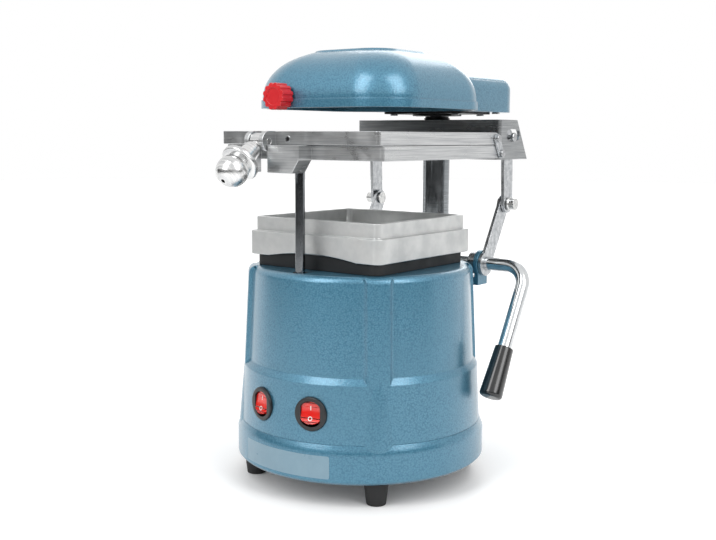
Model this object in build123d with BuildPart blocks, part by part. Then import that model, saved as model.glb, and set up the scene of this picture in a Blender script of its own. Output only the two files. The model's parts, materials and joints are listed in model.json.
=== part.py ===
from build123d import *
import os
from math import atan2, cos, degrees, hypot, radians, sin

# Dental vacuum former: a round blue base that holds a suction motor, a square
# cast bed on a rubber gasket, a sheet clamp that a side lever lowers along a
# rear column, and a heater head that swings about the top of that column.
# Millimetres. Z is up, the floor is z = 0, the front faces -Y and the origin
# lies on the axis of the round base.

# ---- fits
running_gap = 0.05  # radial, between a shaft and its bore
screw_gap = 0.1  # radial, around a screw in its hole
air_gap = 0.4  # between pieces that move past each other
seat_gap = 0.3  # between pieces that only rest on each other

# ---- feet and base ring
foot_height = 20
foot_pitch = 130
foot_top_diameter = 21
foot_bottom_diameter = 16
foot_screw_diameter = 4
foot_screw_recess = 8
base_diameter = 215
base_height = 31.4
base_wall = 3.5
base_ledge_width = 23
base_boss_diameter = 15
bottom_plate_thickness = 2.5

# ---- body
body_bottom_diameter = 208.4
body_top_diameter = 195
body_height = 132.6
body_wall = 3
body_deck = 4
body_top_radius = 6
panel_depth = 3.5
panel_ledge_height = 47.5
panel_ledge_rise = 5
rib_width = 18
rib_foot_height = 7
rib_foot_proud = 1.6
suction_port_diameter = 40
body_boss_diameter = 12
body_screw_diameter = 4

# ---- rear pad, bracket and column
pad_distance = 84
pad_wall = 4
column_distance = 118
column_diameter = 25
column_height = 199
column_foot_z = 110
column_boss_wall = 8
bracket_beam_height = 28
bracket_beam_depth = 16
bracket_screw_diameter = 5
bracket_screw_pitch_x = 70
bracket_screw_pitch_z = 14
ear_thickness = 4
ear_radius = 12
spindle_diameter = 14
spindle_height = 14
neck_ring_diameter = 24
neck_ring_thickness = 1.4
nut_width = 22

# ---- suction motor
motor_diameter = 105
motor_height = 122
motor_mount_height = 5.5
duct_wall = 3

# ---- bed
gasket_width = 129.4
gasket_thickness = 13
gasket_opening = 104
bed_width = 130
bed_rim_height = 28.5
bed_wall = 4
bed_corner_radius = 5
skirt_width = 138
skirt_height = 20
skirt_drop = 3.5
skirt_arch_rise = 4
skirt_arch_width = 92
bed_cavity_depth = 16.5
bowl_top_diameter = 116
bowl_depth = 6
plate_diameter = 92
plate_thickness = 2
plate_seat = 4
plate_hole_diameter = 4
plate_hole_rings = (12, 24, 36)

# ---- lever, cranks and links
shaft_diameter = 12
shaft_y = 93
shaft_z = 180
ear_outer_x = 68
crank_thickness = 3.2
crank_width = 16
knee_y = 123.5
knee_z = 232.4
link_thickness = 3.2
link_width = 16
top_pin_y = 121
top_pin_z = 293
top_pin_diameter = 4
knee_pin_diameter = 6
knee_head_diameter = 12
lever_leg_x = 112.5
lever_bend_radius = 20
lever_angle = 30.4
lever_length = 121
grip_length = 45
grip_neck_diameter = 16
grip_end_diameter = 20
grip_depth = 36
collar_diameter = 20
collar_length = 7

# ---- carriage yoke
web_thickness = 3
web_front_y = 99
yoke_width = 158
yoke_bottom_z = 273
yoke_height = 35.5
flange_top_y = 130
flange_bottom_y = 150
slot_length = 24
slot_height = 10
slot_y = 123
slot_z = 295.1
sleeve_diameter = 32

# ---- sheet frames
frame_width = 162
frame_opening = 115
frame_corner_radius = 3
lower_frame_z = 274.5
lower_frame_thickness = 11.5
lower_frame_front = 82
upper_frame_thickness = 10.7
upper_frame_front = 87
frame_back = 81
arm_width = 15
sheet_size = 127
sheet_recess_depth = 1.2
hinge_y = 88
hinge_screw_diameter = 4
hinge_plate_thickness = 2
hinge_plate_width = 8
hinge_lower_y = 95
hinge_lower_z = 278.5
frame_screw_diameter = 4
frame_screw_x = 70.5
rod_diameter = 8
rod_y = -82
rod_bottom_z = 168
rod_grip = 9.5
bush_wall = 2
bush_length = 12

# ---- sheet clamp
clamp_x = -31
clamp_pivot_y = -95
clamp_pivot_z = 289
cheek_radius = 8
cheek_thickness = 4.5
cheek_gap = 11
clevis_pin_diameter = 5
eye_diameter = 13
bolt_diameter = 8
bolt_length = 40
bolt_angle = 36
neck_start = 9
neck_small_diameter = 13
knob_flange_distance = 26
knob_flange_diameter = 32
knob_flange_thickness = 4.5
knob_neck_diameter = 18
knob_ball_diameter = 26
knob_length = 52.5
knob_end_hole = 3.4
lug_left = -48
lug_right = 12
lug_foot_right = 5
lug_foot_left = -45
lug_depth = 16
clamp_play = 1  # between the lug and the flange of a closed clamp that isn't tightened

# ---- switches, gland and fuse
switch_azimuth = 14.5
switch_z = 75
wall_seat_radius = 102
bezel_diameter = 27.5
bezel_thickness = 2.8
barrel_diameter = 24
barrel_depth = 24
rocker_width = 16
rocker_height = 18.4
rocker_window_height = 20.8
rocker_throw = 20
rocker_pivot_depth = 3.5
rocker_depth = 5
rocker_dish = 1.2
rocker_pin_diameter = 2
gland_diameter = 18
gland_bore = 7
fuse_azimuth = 162
fuse_diameter = 14

# ---- heater head
head_width = 156
head_corner_radius = 40
head_center_y = 12
head_rim_z = 316
head_rim_height = 10
head_wall = 3
head_top_z = 364.5
tail_width = 108
tail_end_y = 180
tail_top_z = 348
tail_corner_radius = 26
tail_edge_radius = 10
rim_step = 1
top_panel_width = 84
top_panel_corner = 24
top_panel_rise = 3.5
top_panel_slope = 35
top_screw_spot = (11, 27)
top_screw_diameter = 4
pan_boss_diameter = 10
plate_screw_pitch_x = 68
plate_screw_pitch_y = 44
plate_screw_diameter = 4
plate_screw_length = 8
pivot_plate_width = 84
pivot_plate_depth = 64
pivot_plate_thickness = 2
pivot_disc_diameter = 46
pivot_disc_thickness = 1.7
tail_cover_thickness = 1.6
cover_screw_x = 45
cover_screw_y = 150
head_knob_x = -31
head_knob_z = 325
head_knob_diameter = 22
head_knob_length = 13
knob_stud_diameter = 5
knob_flutes = 12
pan_width = 126
pan_depth = 16
pan_wall = 1.2
pan_top_z = 338
pan_boss_pitch = 80
element_diameter = 6.5
element_pitch = 22
element_length = 96
element_z = 326.7
post_diameter = 7

# ---- heights and radii that follow from the sizes above
base_top_z = foot_height + base_height
body_top_z = base_top_z + body_height
deck_bottom_z = body_top_z - body_deck
gasket_top_z = body_top_z + gasket_thickness
bed_top_z = gasket_top_z + bed_rim_height
column_top_z = column_foot_z + column_height
lower_frame_top_z = lower_frame_z + lower_frame_thickness
upper_frame_z = lower_frame_top_z + seat_gap
upper_frame_top_z = upper_frame_z + upper_frame_thickness
hinge_z = upper_frame_z + upper_frame_thickness / 2
frame_half = frame_width / 2
frame_screw_z = lower_frame_z + lower_frame_thickness / 2
yoke_inner_x = yoke_width / 2 - web_thickness
crank_inner_x = ear_outer_x + air_gap
crank_outer_x = crank_inner_x + crank_thickness
link_inner_x = crank_outer_x + air_gap
link_outer_x = link_inner_x + link_thickness
ear_inner_x = ear_outer_x - ear_thickness
cavity_inset = panel_depth + body_wall
plate_screw_spots = [
    (x_side * plate_screw_pitch_x / 2, column_distance + y_side * plate_screw_pitch_y / 2)
    for x_side in (-1, 1)
    for y_side in (-1, 1)
]
motor_z = foot_height + bottom_plate_thickness + motor_mount_height
sides = (-1, 1)


def save(piece, name):
    """Label a finished piece and write it to its own file."""
    piece.part.label = name
    export_step(piece.part, f"parts/{name}.step")


def drum_radius(z, inset=0.0):
    """Radius of the tapered drum at height z, less an inset."""
    share = (z - base_top_z) / body_height
    bottom = body_bottom_diameter / 2
    return bottom + (body_top_diameter / 2 - bottom) * share - inset


def wall_plane(azimuth, z, radius=wall_seat_radius):
    """Upright plane that faces outward; azimuth is counted from the front."""
    turn = radians(azimuth)
    outward = (sin(turn), -cos(turn), 0)
    return Plane(
        origin=(radius * outward[0], radius * outward[1], z),
        x_dir=(cos(turn), sin(turn), 0),
        z_dir=outward,
    )


def side_plane(side, x):
    """Plane across X at a distance from the middle; its normal points outward."""
    return Plane(origin=(side * x, 0, 0), x_dir=(0, side, 0), z_dir=(side, 0, 0))


os.makedirs("parts", exist_ok=True)

# ==================================================================== base ring
with BuildPart() as base_ring:
    with BuildSketch(Plane.XZ) as ring_profile:
        with BuildLine():
            Polyline(
                (base_diameter / 2 - base_wall, foot_height),
                (base_diameter / 2, foot_height),
                (base_diameter / 2, base_top_z),
                (base_diameter / 2 - base_ledge_width, base_top_z),
                (base_diameter / 2 - base_ledge_width, base_top_z - base_wall),
                (base_diameter / 2 - base_wall, base_top_z - base_wall),
                close=True,
            )
        make_face()
        rim_corner = ring_profile.vertices().sort_by_distance((base_diameter / 2, base_top_z))[0]
        fillet(rim_corner, radius=base_wall - 0.5)
    revolve(axis=Axis.Z)
    with BuildSketch(Plane.XY.offset(foot_height + bottom_plate_thickness)):
        with GridLocations(foot_pitch, foot_pitch, 2, 2):
            Circle(base_boss_diameter / 2)
    extrude(amount=base_height - bottom_plate_thickness - base_wall / 2)
    with BuildSketch(Plane.XY.offset(foot_height + bottom_plate_thickness)):
        with GridLocations(foot_pitch, foot_pitch, 2, 2):
            Circle(foot_screw_diameter / 2 + running_gap)
    extrude(amount=foot_height, mode=Mode.SUBTRACT)
    with BuildSketch(Plane.XY.offset(base_top_z - base_wall)):
        with PolarLocations(drum_radius(base_top_z, cavity_inset + body_boss_diameter / 2 - 2), 4):
            Circle(body_screw_diameter / 2 + screw_gap)
    extrude(amount=base_wall, mode=Mode.SUBTRACT)
    outer_bottom = base_ring.edges().filter_by(GeomType.CIRCLE).group_by(Axis.Z)[0].sort_by(SortBy.RADIUS)[-1]
    chamfer(outer_bottom, length=base_wall - 1.5)
save(base_ring, "base_ring")

with BuildPart() as bottom_plate:
    with BuildSketch(Plane.XY.offset(foot_height)):
        Circle(base_diameter / 2 - base_wall - screw_gap)
        with GridLocations(foot_pitch, foot_pitch, 2, 2):
            Circle(foot_screw_diameter / 2 + screw_gap, mode=Mode.SUBTRACT)
        with PolarLocations(motor_diameter / 2 + 14, 12):
            SlotOverall(16, 4, rotation=90, mode=Mode.SUBTRACT)
    extrude(amount=bottom_plate_thickness)
save(bottom_plate, "bottom_plate")

with BuildPart() as rubber_feet:
    with GridLocations(foot_pitch, foot_pitch, 2, 2):
        Cone(
            foot_bottom_diameter / 2,
            foot_top_diameter / 2,
            foot_height,
            align=(Align.CENTER, Align.CENTER, Align.MIN),
        )
        Cylinder(
            foot_screw_diameter / 2 + screw_gap,
            foot_height,
            align=(Align.CENTER, Align.CENTER, Align.MIN),
            mode=Mode.SUBTRACT,
        )
        Cylinder(
            foot_screw_diameter + screw_gap,
            foot_screw_recess,
            align=(Align.CENTER, Align.CENTER, Align.MIN),
            mode=Mode.SUBTRACT,
        )
save(rubber_feet, "rubber_feet")

with BuildPart() as foot_screws:
    with BuildSketch(Plane.XY.offset(foot_screw_recess - 3)):
        with GridLocations(foot_pitch, foot_pitch, 2, 2):
            Circle(foot_screw_diameter)
    extrude(amount=3)
    with BuildSketch(Plane.XY.offset(foot_screw_recess)):
        with GridLocations(foot_pitch, foot_pitch, 2, 2):
            Circle(foot_screw_diameter / 2)
    extrude(amount=foot_height + bottom_plate_thickness + 12 - foot_screw_recess)
save(foot_screws, "foot_screws")

# ================================================================= body housing
# Ring-shaped cutter for the wide panels: all of it but the four ribs is cut.
ledge_low_z = base_top_z + panel_ledge_height
ledge_high_z = ledge_low_z + panel_ledge_rise
with BuildPart() as panel_recesses:
    with BuildSketch(Plane.XZ) as recess_profile:
        with BuildLine():
            Polyline(
                (drum_radius(ledge_low_z), ledge_low_z),
                (drum_radius(ledge_high_z, panel_depth), ledge_high_z),
                (drum_radius(body_top_z, panel_depth), body_top_z),
                (drum_radius(body_top_z, body_top_radius * 2), body_top_z),
                (drum_radius(body_top_z, body_top_radius * 2), body_top_z + body_top_radius),
                (body_bottom_diameter / 2 + 1, body_top_z + body_top_radius),
                (body_bottom_diameter / 2 + 1, ledge_low_z),
                close=True,
            )
        make_face()
        top_corner = (drum_radius(body_top_z, panel_depth), body_top_z)
        fillet(recess_profile.vertices().sort_by_distance(top_corner)[0], radius=body_top_radius)
    revolve(axis=Axis.Z)
    with PolarLocations(body_top_diameter / 2, 4, start_angle=45):
        Box(body_top_diameter / 3, rib_width, 2 * body_top_z + 40, mode=Mode.SUBTRACT)
    rib_corners = panel_recesses.edges().filter_by(
        lambda edge: edge.length > body_height / 3 and abs(edge.tangent_at(0.5).Z) > 0.9
    )
    fillet(rib_corners, radius=1.5)

with BuildPart() as body_cavity:
    with BuildSketch(Plane.XZ):
        with BuildLine():
            Polyline(
                (0, base_top_z),
                (drum_radius(base_top_z, cavity_inset), base_top_z),
                (drum_radius(deck_bottom_z, cavity_inset), deck_bottom_z),
                (0, deck_bottom_z),
                close=True,
            )
        make_face()
    revolve(axis=Axis.Z)
    with BuildSketch(Plane.XY.offset(ledge_low_z)):
        with Locations((0, pad_distance - pad_wall)):
            Rectangle(body_top_diameter, pad_distance, align=(Align.CENTER, Align.MIN))
    extrude(amount=body_height, mode=Mode.SUBTRACT)

body_boss_radius = drum_radius(base_top_z, cavity_inset + body_boss_diameter / 2 - 2)
with BuildPart() as body_housing:
    with BuildSketch(Plane.XZ) as body_profile:
        with BuildLine():
            Polyline(
                (0, base_top_z),
                (body_bottom_diameter / 2, base_top_z),
                (body_top_diameter / 2, body_top_z),
                (0, body_top_z),
                close=True,
            )
        make_face()
        shoulder = body_profile.vertices().sort_by_distance((body_top_diameter / 2, body_top_z))[0]
        fillet(shoulder, radius=body_top_radius)
    revolve(axis=Axis.Z)
    with PolarLocations(body_bottom_diameter / 2 + rib_foot_proud, 4, start_angle=45):
        with Locations((0, 0, base_top_z)):
            Box(
                body_wall * 3,
                rib_width,
                rib_foot_height,
                align=(Align.MAX, Align.CENTER, Align.MIN),
            )
    add(panel_recesses.part, mode=Mode.SUBTRACT)
    add(body_cavity.part, mode=Mode.SUBTRACT)
    with BuildSketch(Plane.XY.offset(base_top_z)):
        with PolarLocations(body_boss_radius, 4):
            Circle(body_boss_diameter / 2)
    extrude(amount=18)
    with BuildSketch(Plane.XY.offset(base_top_z)):
        with PolarLocations(body_boss_radius, 4):
            Circle(body_screw_diameter / 2 + running_gap)
    extrude(amount=14, mode=Mode.SUBTRACT)
    with BuildSketch(Plane.XY.offset(ledge_high_z)):
        with Locations((0, pad_distance)):
            Rectangle(body_top_diameter, pad_distance, align=(Align.CENTER, Align.MIN))
    extrude(amount=body_height, mode=Mode.SUBTRACT)
    with BuildSketch(Plane.XY.offset(deck_bottom_z)):
        Circle(suction_port_diameter / 2)
        with Locations((0, rod_y)):
            Circle(rod_diameter / 2 + bush_wall + screw_gap)
    extrude(amount=body_deck, mode=Mode.SUBTRACT)
    for azimuth in (-switch_azimuth, switch_azimuth):
        with BuildSketch(wall_plane(azimuth, switch_z)):
            Circle(bezel_diameter / 2 + screw_gap)
        extrude(amount=bezel_diameter, mode=Mode.SUBTRACT)
        with BuildSketch(wall_plane(azimuth, switch_z)):
            Circle(barrel_diameter / 2 + screw_gap)
        extrude(amount=-barrel_diameter, mode=Mode.SUBTRACT)
    for azimuth, diameter in ((180, gland_diameter), (fuse_azimuth, fuse_diameter)):
        with BuildSketch(wall_plane(azimuth, switch_z)):
            Circle(diameter / 2 + screw_gap)
        extrude(amount=gland_diameter, mode=Mode.SUBTRACT)
        with BuildSketch(wall_plane(azimuth, switch_z)):
            Circle(diameter / 3 + screw_gap)
        extrude(amount=-gland_diameter, mode=Mode.SUBTRACT)
    with BuildSketch(Plane.XZ.offset(-pad_distance)):
        with Locations((0, column_foot_z + 44)):
            with GridLocations(bracket_screw_pitch_x, bracket_screw_pitch_z, 2, 2):
                Circle(bracket_screw_diameter / 2 + running_gap)
    extrude(amount=pad_wall, mode=Mode.SUBTRACT)
save(body_housing, "body_housing")

with BuildPart() as body_screws:
    with BuildSketch(Plane.XY.offset(base_top_z - base_wall - 3)):
        with PolarLocations(body_boss_radius, 4):
            Circle(body_screw_diameter)
    extrude(amount=3)
    with BuildSketch(Plane.XY.offset(base_top_z - base_wall)):
        with PolarLocations(body_boss_radius, 4):
            Circle(body_screw_diameter / 2)
    extrude(amount=base_wall + 12)
save(body_screws, "body_screws")

# ================================================================ suction motor
with BuildPart() as motor_mount:
    with BuildSketch(Plane.XY.offset(foot_height + bottom_plate_thickness)):
        Circle(motor_diameter / 2 + 4)
        Circle(motor_diameter / 2 - 12, mode=Mode.SUBTRACT)
    extrude(amount=motor_mount_height)
save(motor_mount, "motor_mount")

with BuildPart() as vacuum_motor:
    with BuildSketch(Plane.XY.offset(motor_z)):
        Circle(motor_diameter / 2)
    extrude(amount=motor_height * 0.42)
    with BuildSketch(Plane.XY.offset(motor_z + motor_height * 0.42)):
        Circle(motor_diameter / 2 - 12)
    extrude(amount=motor_height * 0.16)
    with BuildSketch(Plane.XY.offset(motor_z + motor_height * 0.58)):
        Circle(motor_diameter / 2)
    extrude(amount=motor_height * 0.42)
    with BuildSketch(Plane.XY.offset(motor_z + motor_height)):
        Circle(suction_port_diameter / 2 - duct_wall)
    extrude(amount=-motor_height * 0.3, mode=Mode.SUBTRACT)
    fillet(vacuum_motor.edges().filter_by(GeomType.CIRCLE).group_by(Axis.Z)[-1].sort_by(SortBy.RADIUS)[-1], radius=5)
save(vacuum_motor, "vacuum_motor")

with BuildPart() as suction_duct:
    with BuildSketch(Plane.XY.offset(motor_z + motor_height)):
        Circle(suction_port_diameter / 2 + duct_wall)
        Circle(suction_port_diameter / 2, mode=Mode.SUBTRACT)
    extrude(amount=deck_bottom_z - motor_z - motor_height)
save(suction_duct, "suction_duct")

# ============================================================== gasket and bed
with BuildPart() as bed_gasket:
    with BuildSketch(Plane.XY.offset(body_top_z)):
        RectangleRounded(gasket_width, gasket_width, bed_corner_radius + 3)
        RectangleRounded(gasket_opening, gasket_opening, bed_corner_radius + 3, mode=Mode.SUBTRACT)
    extrude(amount=gasket_thickness)
save(bed_gasket, "bed_gasket")

bowl_top_z = bed_top_z - bed_cavity_depth
plate_z = bowl_top_z - bowl_depth - plate_thickness
with BuildPart() as vacuum_bed:
    with BuildSketch(Plane.XY.offset(gasket_top_z)):
        RectangleRounded(bed_width, bed_width, bed_corner_radius)
    extrude(amount=bed_rim_height)
    with BuildSketch(Plane.XY.offset(gasket_top_z - skirt_drop)):
        RectangleRounded(skirt_width, skirt_width, bed_corner_radius + 2)
    extrude(amount=skirt_height)
    with BuildSketch(Plane.XY.offset(gasket_top_z - skirt_drop)):
        RectangleRounded(
            gasket_width + 2 * screw_gap,
            gasket_width + 2 * screw_gap,
            bed_corner_radius + 3,
        )
    extrude(amount=skirt_drop, mode=Mode.SUBTRACT)
    with BuildSketch(Plane.XY.offset(bowl_top_z)):
        RectangleRounded(bed_width - 2 * bed_wall, bed_width - 2 * bed_wall, bed_corner_radius)
    extrude(amount=bed_cavity_depth, mode=Mode.SUBTRACT)
    with BuildSketch(Plane.XZ):
        with BuildLine():
            Polyline(
                (0, bowl_top_z),
                (bowl_top_diameter / 2, bowl_top_z),
                (plate_diameter / 2 + screw_gap, bowl_top_z - bowl_depth),
                (plate_diameter / 2 + screw_gap, plate_z),
                (plate_diameter / 2 - plate_seat, plate_z),
                (plate_diameter / 2 - plate_seat, gasket_top_z),
                (0, gasket_top_z),
                close=True,
            )
        make_face()
    revolve(axis=Axis.Z, mode=Mode.SUBTRACT)
    with BuildSketch(Plane.XZ.offset(gasket_width / 2 + screw_gap)):
        with BuildLine():
            ThreePointArc(
                (-skirt_arch_width / 2, gasket_top_z - skirt_drop),
                (0, gasket_top_z - skirt_drop + skirt_arch_rise),
                (skirt_arch_width / 2, gasket_top_z - skirt_drop),
            )
            Line(
                (skirt_arch_width / 2, gasket_top_z - skirt_drop),
                (-skirt_arch_width / 2, gasket_top_z - skirt_drop),
            )
        make_face()
    extrude(amount=skirt_width - gasket_width, mode=Mode.SUBTRACT)
save(vacuum_bed, "vacuum_bed")

with BuildPart() as perforated_plate:
    with BuildSketch(Plane.XY.offset(plate_z)):
        Circle(plate_diameter / 2)
        Circle(plate_hole_diameter / 2, mode=Mode.SUBTRACT)
        for ring, radius in enumerate(plate_hole_rings):
            with PolarLocations(radius, 6 * (ring + 1)):
                Circle(plate_hole_diameter / 2, mode=Mode.SUBTRACT)
    extrude(amount=plate_thickness)
save(perforated_plate, "perforated_plate")

# ================================================== rear bracket and main column
beam_bottom_z = column_foot_z + 30
beam_top_z = beam_bottom_z + bracket_beam_height
boss_radius = column_diameter / 2 + column_boss_wall
with BuildPart() as rear_bracket:
    with BuildSketch(Plane.XY.offset(beam_bottom_z)):
        with Locations((0, pad_distance)):
            Rectangle(2 * ear_outer_x, bracket_beam_depth, align=(Align.CENTER, Align.MIN))
    extrude(amount=bracket_beam_height)
    with BuildSketch(Plane.XY.offset(column_foot_z - 5)):
        with Locations((0, column_distance)):
            Circle(boss_radius)
        with Locations((0, pad_distance)):
            Rectangle(2 * boss_radius, column_distance - pad_distance, align=(Align.CENTER, Align.MIN))
    extrude(amount=beam_top_z - column_foot_z + 5)
    for side in sides:
        with BuildSketch(side_plane(side, ear_inner_x)):
            with Locations((side * shaft_y, shaft_z)):
                Circle(ear_radius)
            with Locations((side * (pad_distance + bracket_beam_depth / 2), beam_bottom_z)):
                Rectangle(bracket_beam_depth, shaft_z - beam_bottom_z, align=(Align.CENTER, Align.MIN))
        extrude(amount=ear_thickness)
    with BuildSketch(Plane.YZ):
        with Locations((shaft_y, shaft_z)):
            Circle(shaft_diameter / 2 + running_gap)
    extrude(amount=ear_outer_x, both=True, mode=Mode.SUBTRACT)
    with BuildSketch(Plane.XY.offset(column_foot_z)):
        with Locations((0, column_distance)):
            Circle(column_diameter / 2 + running_gap)
    extrude(amount=column_height, mode=Mode.SUBTRACT)
    with BuildSketch(Plane.XZ.offset(-pad_distance)):
        with Locations((0, column_foot_z + 44)):
            with GridLocations(bracket_screw_pitch_x, bracket_screw_pitch_z, 2, 2):
                Circle(bracket_screw_diameter / 2 + screw_gap)
    extrude(amount=-bracket_beam_depth, mode=Mode.SUBTRACT)
    with BuildSketch(Plane.XZ.offset(-column_distance)):
        with Locations((0, column_foot_z + 26)):
            Circle(bracket_screw_diameter / 2 + running_gap)
    extrude(amount=-2 * boss_radius, mode=Mode.SUBTRACT)
save(rear_bracket, "rear_bracket")

with BuildPart() as bracket_screws:
    with BuildSketch(Plane.XZ.offset(-pad_distance - bracket_beam_depth)):
        with Locations((0, column_foot_z + 44)):
            with GridLocations(bracket_screw_pitch_x, bracket_screw_pitch_z, 2, 2):
                RegularPolygon(bracket_screw_diameter * 0.8, 6, major_radius=False)
    extrude(amount=-3.5)
    with BuildSketch(Plane.XZ.offset(-pad_distance - bracket_beam_depth)):
        with Locations((0, column_foot_z + 44)):
            with GridLocations(bracket_screw_pitch_x, bracket_screw_pitch_z, 2, 2):
                Circle(bracket_screw_diameter / 2)
    extrude(amount=bracket_beam_depth + pad_wall)
save(bracket_screws, "bracket_screws")

with BuildPart() as column_set_screw:
    with BuildSketch(Plane.XZ.offset(-column_distance - column_diameter / 2 - running_gap)):
        with Locations((0, column_foot_z + 26)):
            Circle(bracket_screw_diameter / 2)
    extrude(amount=-column_boss_wall)
save(column_set_screw, "column_set_screw")

with BuildPart() as column:
    with BuildSketch(Plane.XY.offset(column_foot_z)):
        with Locations((0, column_distance)):
            Circle(column_diameter / 2)
    extrude(amount=column_height)
    chamfer(column.edges().group_by(Axis.Z)[-1], length=1)
    with BuildSketch(Plane.XY.offset(column_top_z)):
        with Locations((0, column_distance)):
            Circle(spindle_diameter / 2)
    extrude(amount=spindle_height)
save(column, "column")

with BuildPart() as neck_rings:
    for level in range(2):
        with BuildSketch(Plane.XY.offset(column_top_z + level * (neck_ring_thickness + 0.1))):
            with Locations((0, column_distance)):
                Circle(neck_ring_diameter / 2 - level)
                Circle(spindle_diameter / 2 + running_gap, mode=Mode.SUBTRACT)
        extrude(amount=neck_ring_thickness)
save(neck_rings, "neck_rings")

# ================================================================ shaft and lever
# The bar crosses behind the body, turns down outside it and ends in the grip.
leg_direction = (0, -sin(radians(lever_angle)), -cos(radians(lever_angle)))


def along_leg(distance):
    """Point on the axis of the lever's leg, at a distance from the shaft."""
    return (
        lever_leg_x,
        shaft_y + distance * leg_direction[1],
        shaft_z + distance * leg_direction[2],
    )


with BuildPart() as lever_bar:
    with BuildLine() as lever_path:
        FilletPolyline(
            (-crank_outer_x - 1, shaft_y, shaft_z),
            (lever_leg_x, shaft_y, shaft_z),
            along_leg(lever_length - grip_length + grip_depth),
            radius=lever_bend_radius,
        )
    with BuildSketch(Plane.YZ.offset(-crank_outer_x - 1)):
        with Locations((shaft_y, shaft_z)):
            Circle(shaft_diameter / 2)
    sweep()
save(lever_bar, "lever_bar")

grip_start = lever_length - grip_length
grip_plane = Plane(origin=along_leg(grip_start), x_dir=(1, 0, 0), z_dir=leg_direction)
with BuildPart() as lever_grip:
    with BuildSketch(grip_plane):
        Circle(grip_neck_diameter / 2)
    with BuildSketch(grip_plane.offset(grip_length)):
        Circle(grip_end_diameter / 2)
    loft()
    fillet(lever_grip.edges().filter_by(GeomType.CIRCLE).sort_by(SortBy.RADIUS)[-1], radius=3)
    with BuildSketch(grip_plane):
        Circle(shaft_diameter / 2 + running_gap)
    extrude(amount=grip_depth + running_gap, mode=Mode.SUBTRACT)
save(lever_grip, "lever_grip")

with BuildPart() as shaft_collars:
    for side in sides:
        with BuildSketch(side_plane(side, ear_inner_x - air_gap - collar_length)):
            with Locations((side * shaft_y, shaft_z)):
                Circle(collar_diameter / 2)
                Circle(shaft_diameter / 2 + running_gap, mode=Mode.SUBTRACT)
        extrude(amount=collar_length)
save(shaft_collars, "shaft_collars")


def bar_outline(side, start, end, width, start_radius):
    """Flat bar between two centres (y, z), with rounded ends."""
    middle = ((start[0] + end[0]) / 2, (start[1] + end[1]) / 2)
    length = hypot(end[0] - start[0], end[1] - start[1])
    slope = degrees(atan2(end[1] - start[1], side * (end[0] - start[0])))
    with Locations((side * start[0], start[1])):
        Circle(start_radius)
    with Locations((side * middle[0], middle[1])):
        SlotCenterToCenter(length, width, rotation=slope)


shaft_center = (shaft_y, shaft_z)
knee_center = (knee_y, knee_z)
top_pin_center = (top_pin_y, top_pin_z)

for side, name in zip(sides, ("left", "right")):
    with BuildPart() as crank:
        with BuildSketch(side_plane(side, crank_inner_x)):
            bar_outline(side, shaft_center, knee_center, crank_width, crank_width / 2 + 3)
            with Locations((side * shaft_y, shaft_z)):
                Circle(shaft_diameter / 2 + running_gap, mode=Mode.SUBTRACT)
            with Locations((side * knee_y, knee_z)):
                Circle(knee_pin_diameter / 2 + running_gap, mode=Mode.SUBTRACT)
        extrude(amount=crank_thickness)
    save(crank, f"crank_{name}")

    with BuildPart() as link:
        with BuildSketch(side_plane(side, link_inner_x)):
            bar_outline(side, knee_center, top_pin_center, link_width, link_width / 2)
            with Locations((side * knee_y, knee_z)):
                Circle(knee_pin_diameter / 2 + running_gap, mode=Mode.SUBTRACT)
            with Locations((side * top_pin_y, top_pin_z)):
                Circle(top_pin_diameter / 2 + running_gap, mode=Mode.SUBTRACT)
        extrude(amount=link_thickness)
    save(link, f"link_{name}")

    with BuildPart() as top_pin:
        with BuildSketch(side_plane(side, link_inner_x)):
            with Locations((side * top_pin_y, top_pin_z)):
                Circle(top_pin_diameter / 2)
        extrude(amount=yoke_width / 2 + air_gap - link_inner_x)
        with BuildSketch(side_plane(side, yoke_width / 2 + air_gap)):
            with Locations((side * top_pin_y, top_pin_z)):
                Circle(top_pin_diameter)
        extrude(amount=3)
        chamfer(top_pin.faces().sort_by(Axis.X)[-1 if side > 0 else 0].edges(), length=0.8)
        with BuildSketch(side_plane(side, link_inner_x)):
            with Locations((side * top_pin_y, top_pin_z)):
                Circle(top_pin_diameter)
        extrude(amount=-1.5)
    save(top_pin, f"top_pin_{name}")

with BuildPart() as knee_pins:
    for side in sides:
        with BuildSketch(side_plane(side, crank_inner_x)):
            with Locations((side * knee_y, knee_z)):
                Circle(knee_pin_diameter / 2)
        extrude(amount=link_outer_x + air_gap - crank_inner_x)
        with BuildSketch(side_plane(side, crank_inner_x)):
            with Locations((side * knee_y, knee_z)):
                Circle(knee_head_diameter / 2)
        extrude(amount=-2)
        with BuildSketch(side_plane(side, link_outer_x + air_gap)):
            with Locations((side * knee_y, knee_z)):
                Circle(knee_head_diameter / 2)
        extrude(amount=2.5)
    head_rims = knee_pins.edges().filter_by(GeomType.CIRCLE).group_by(Axis.X)
    chamfer(head_rims[0] + head_rims[-1], length=0.8)
save(knee_pins, "knee_pins")

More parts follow.
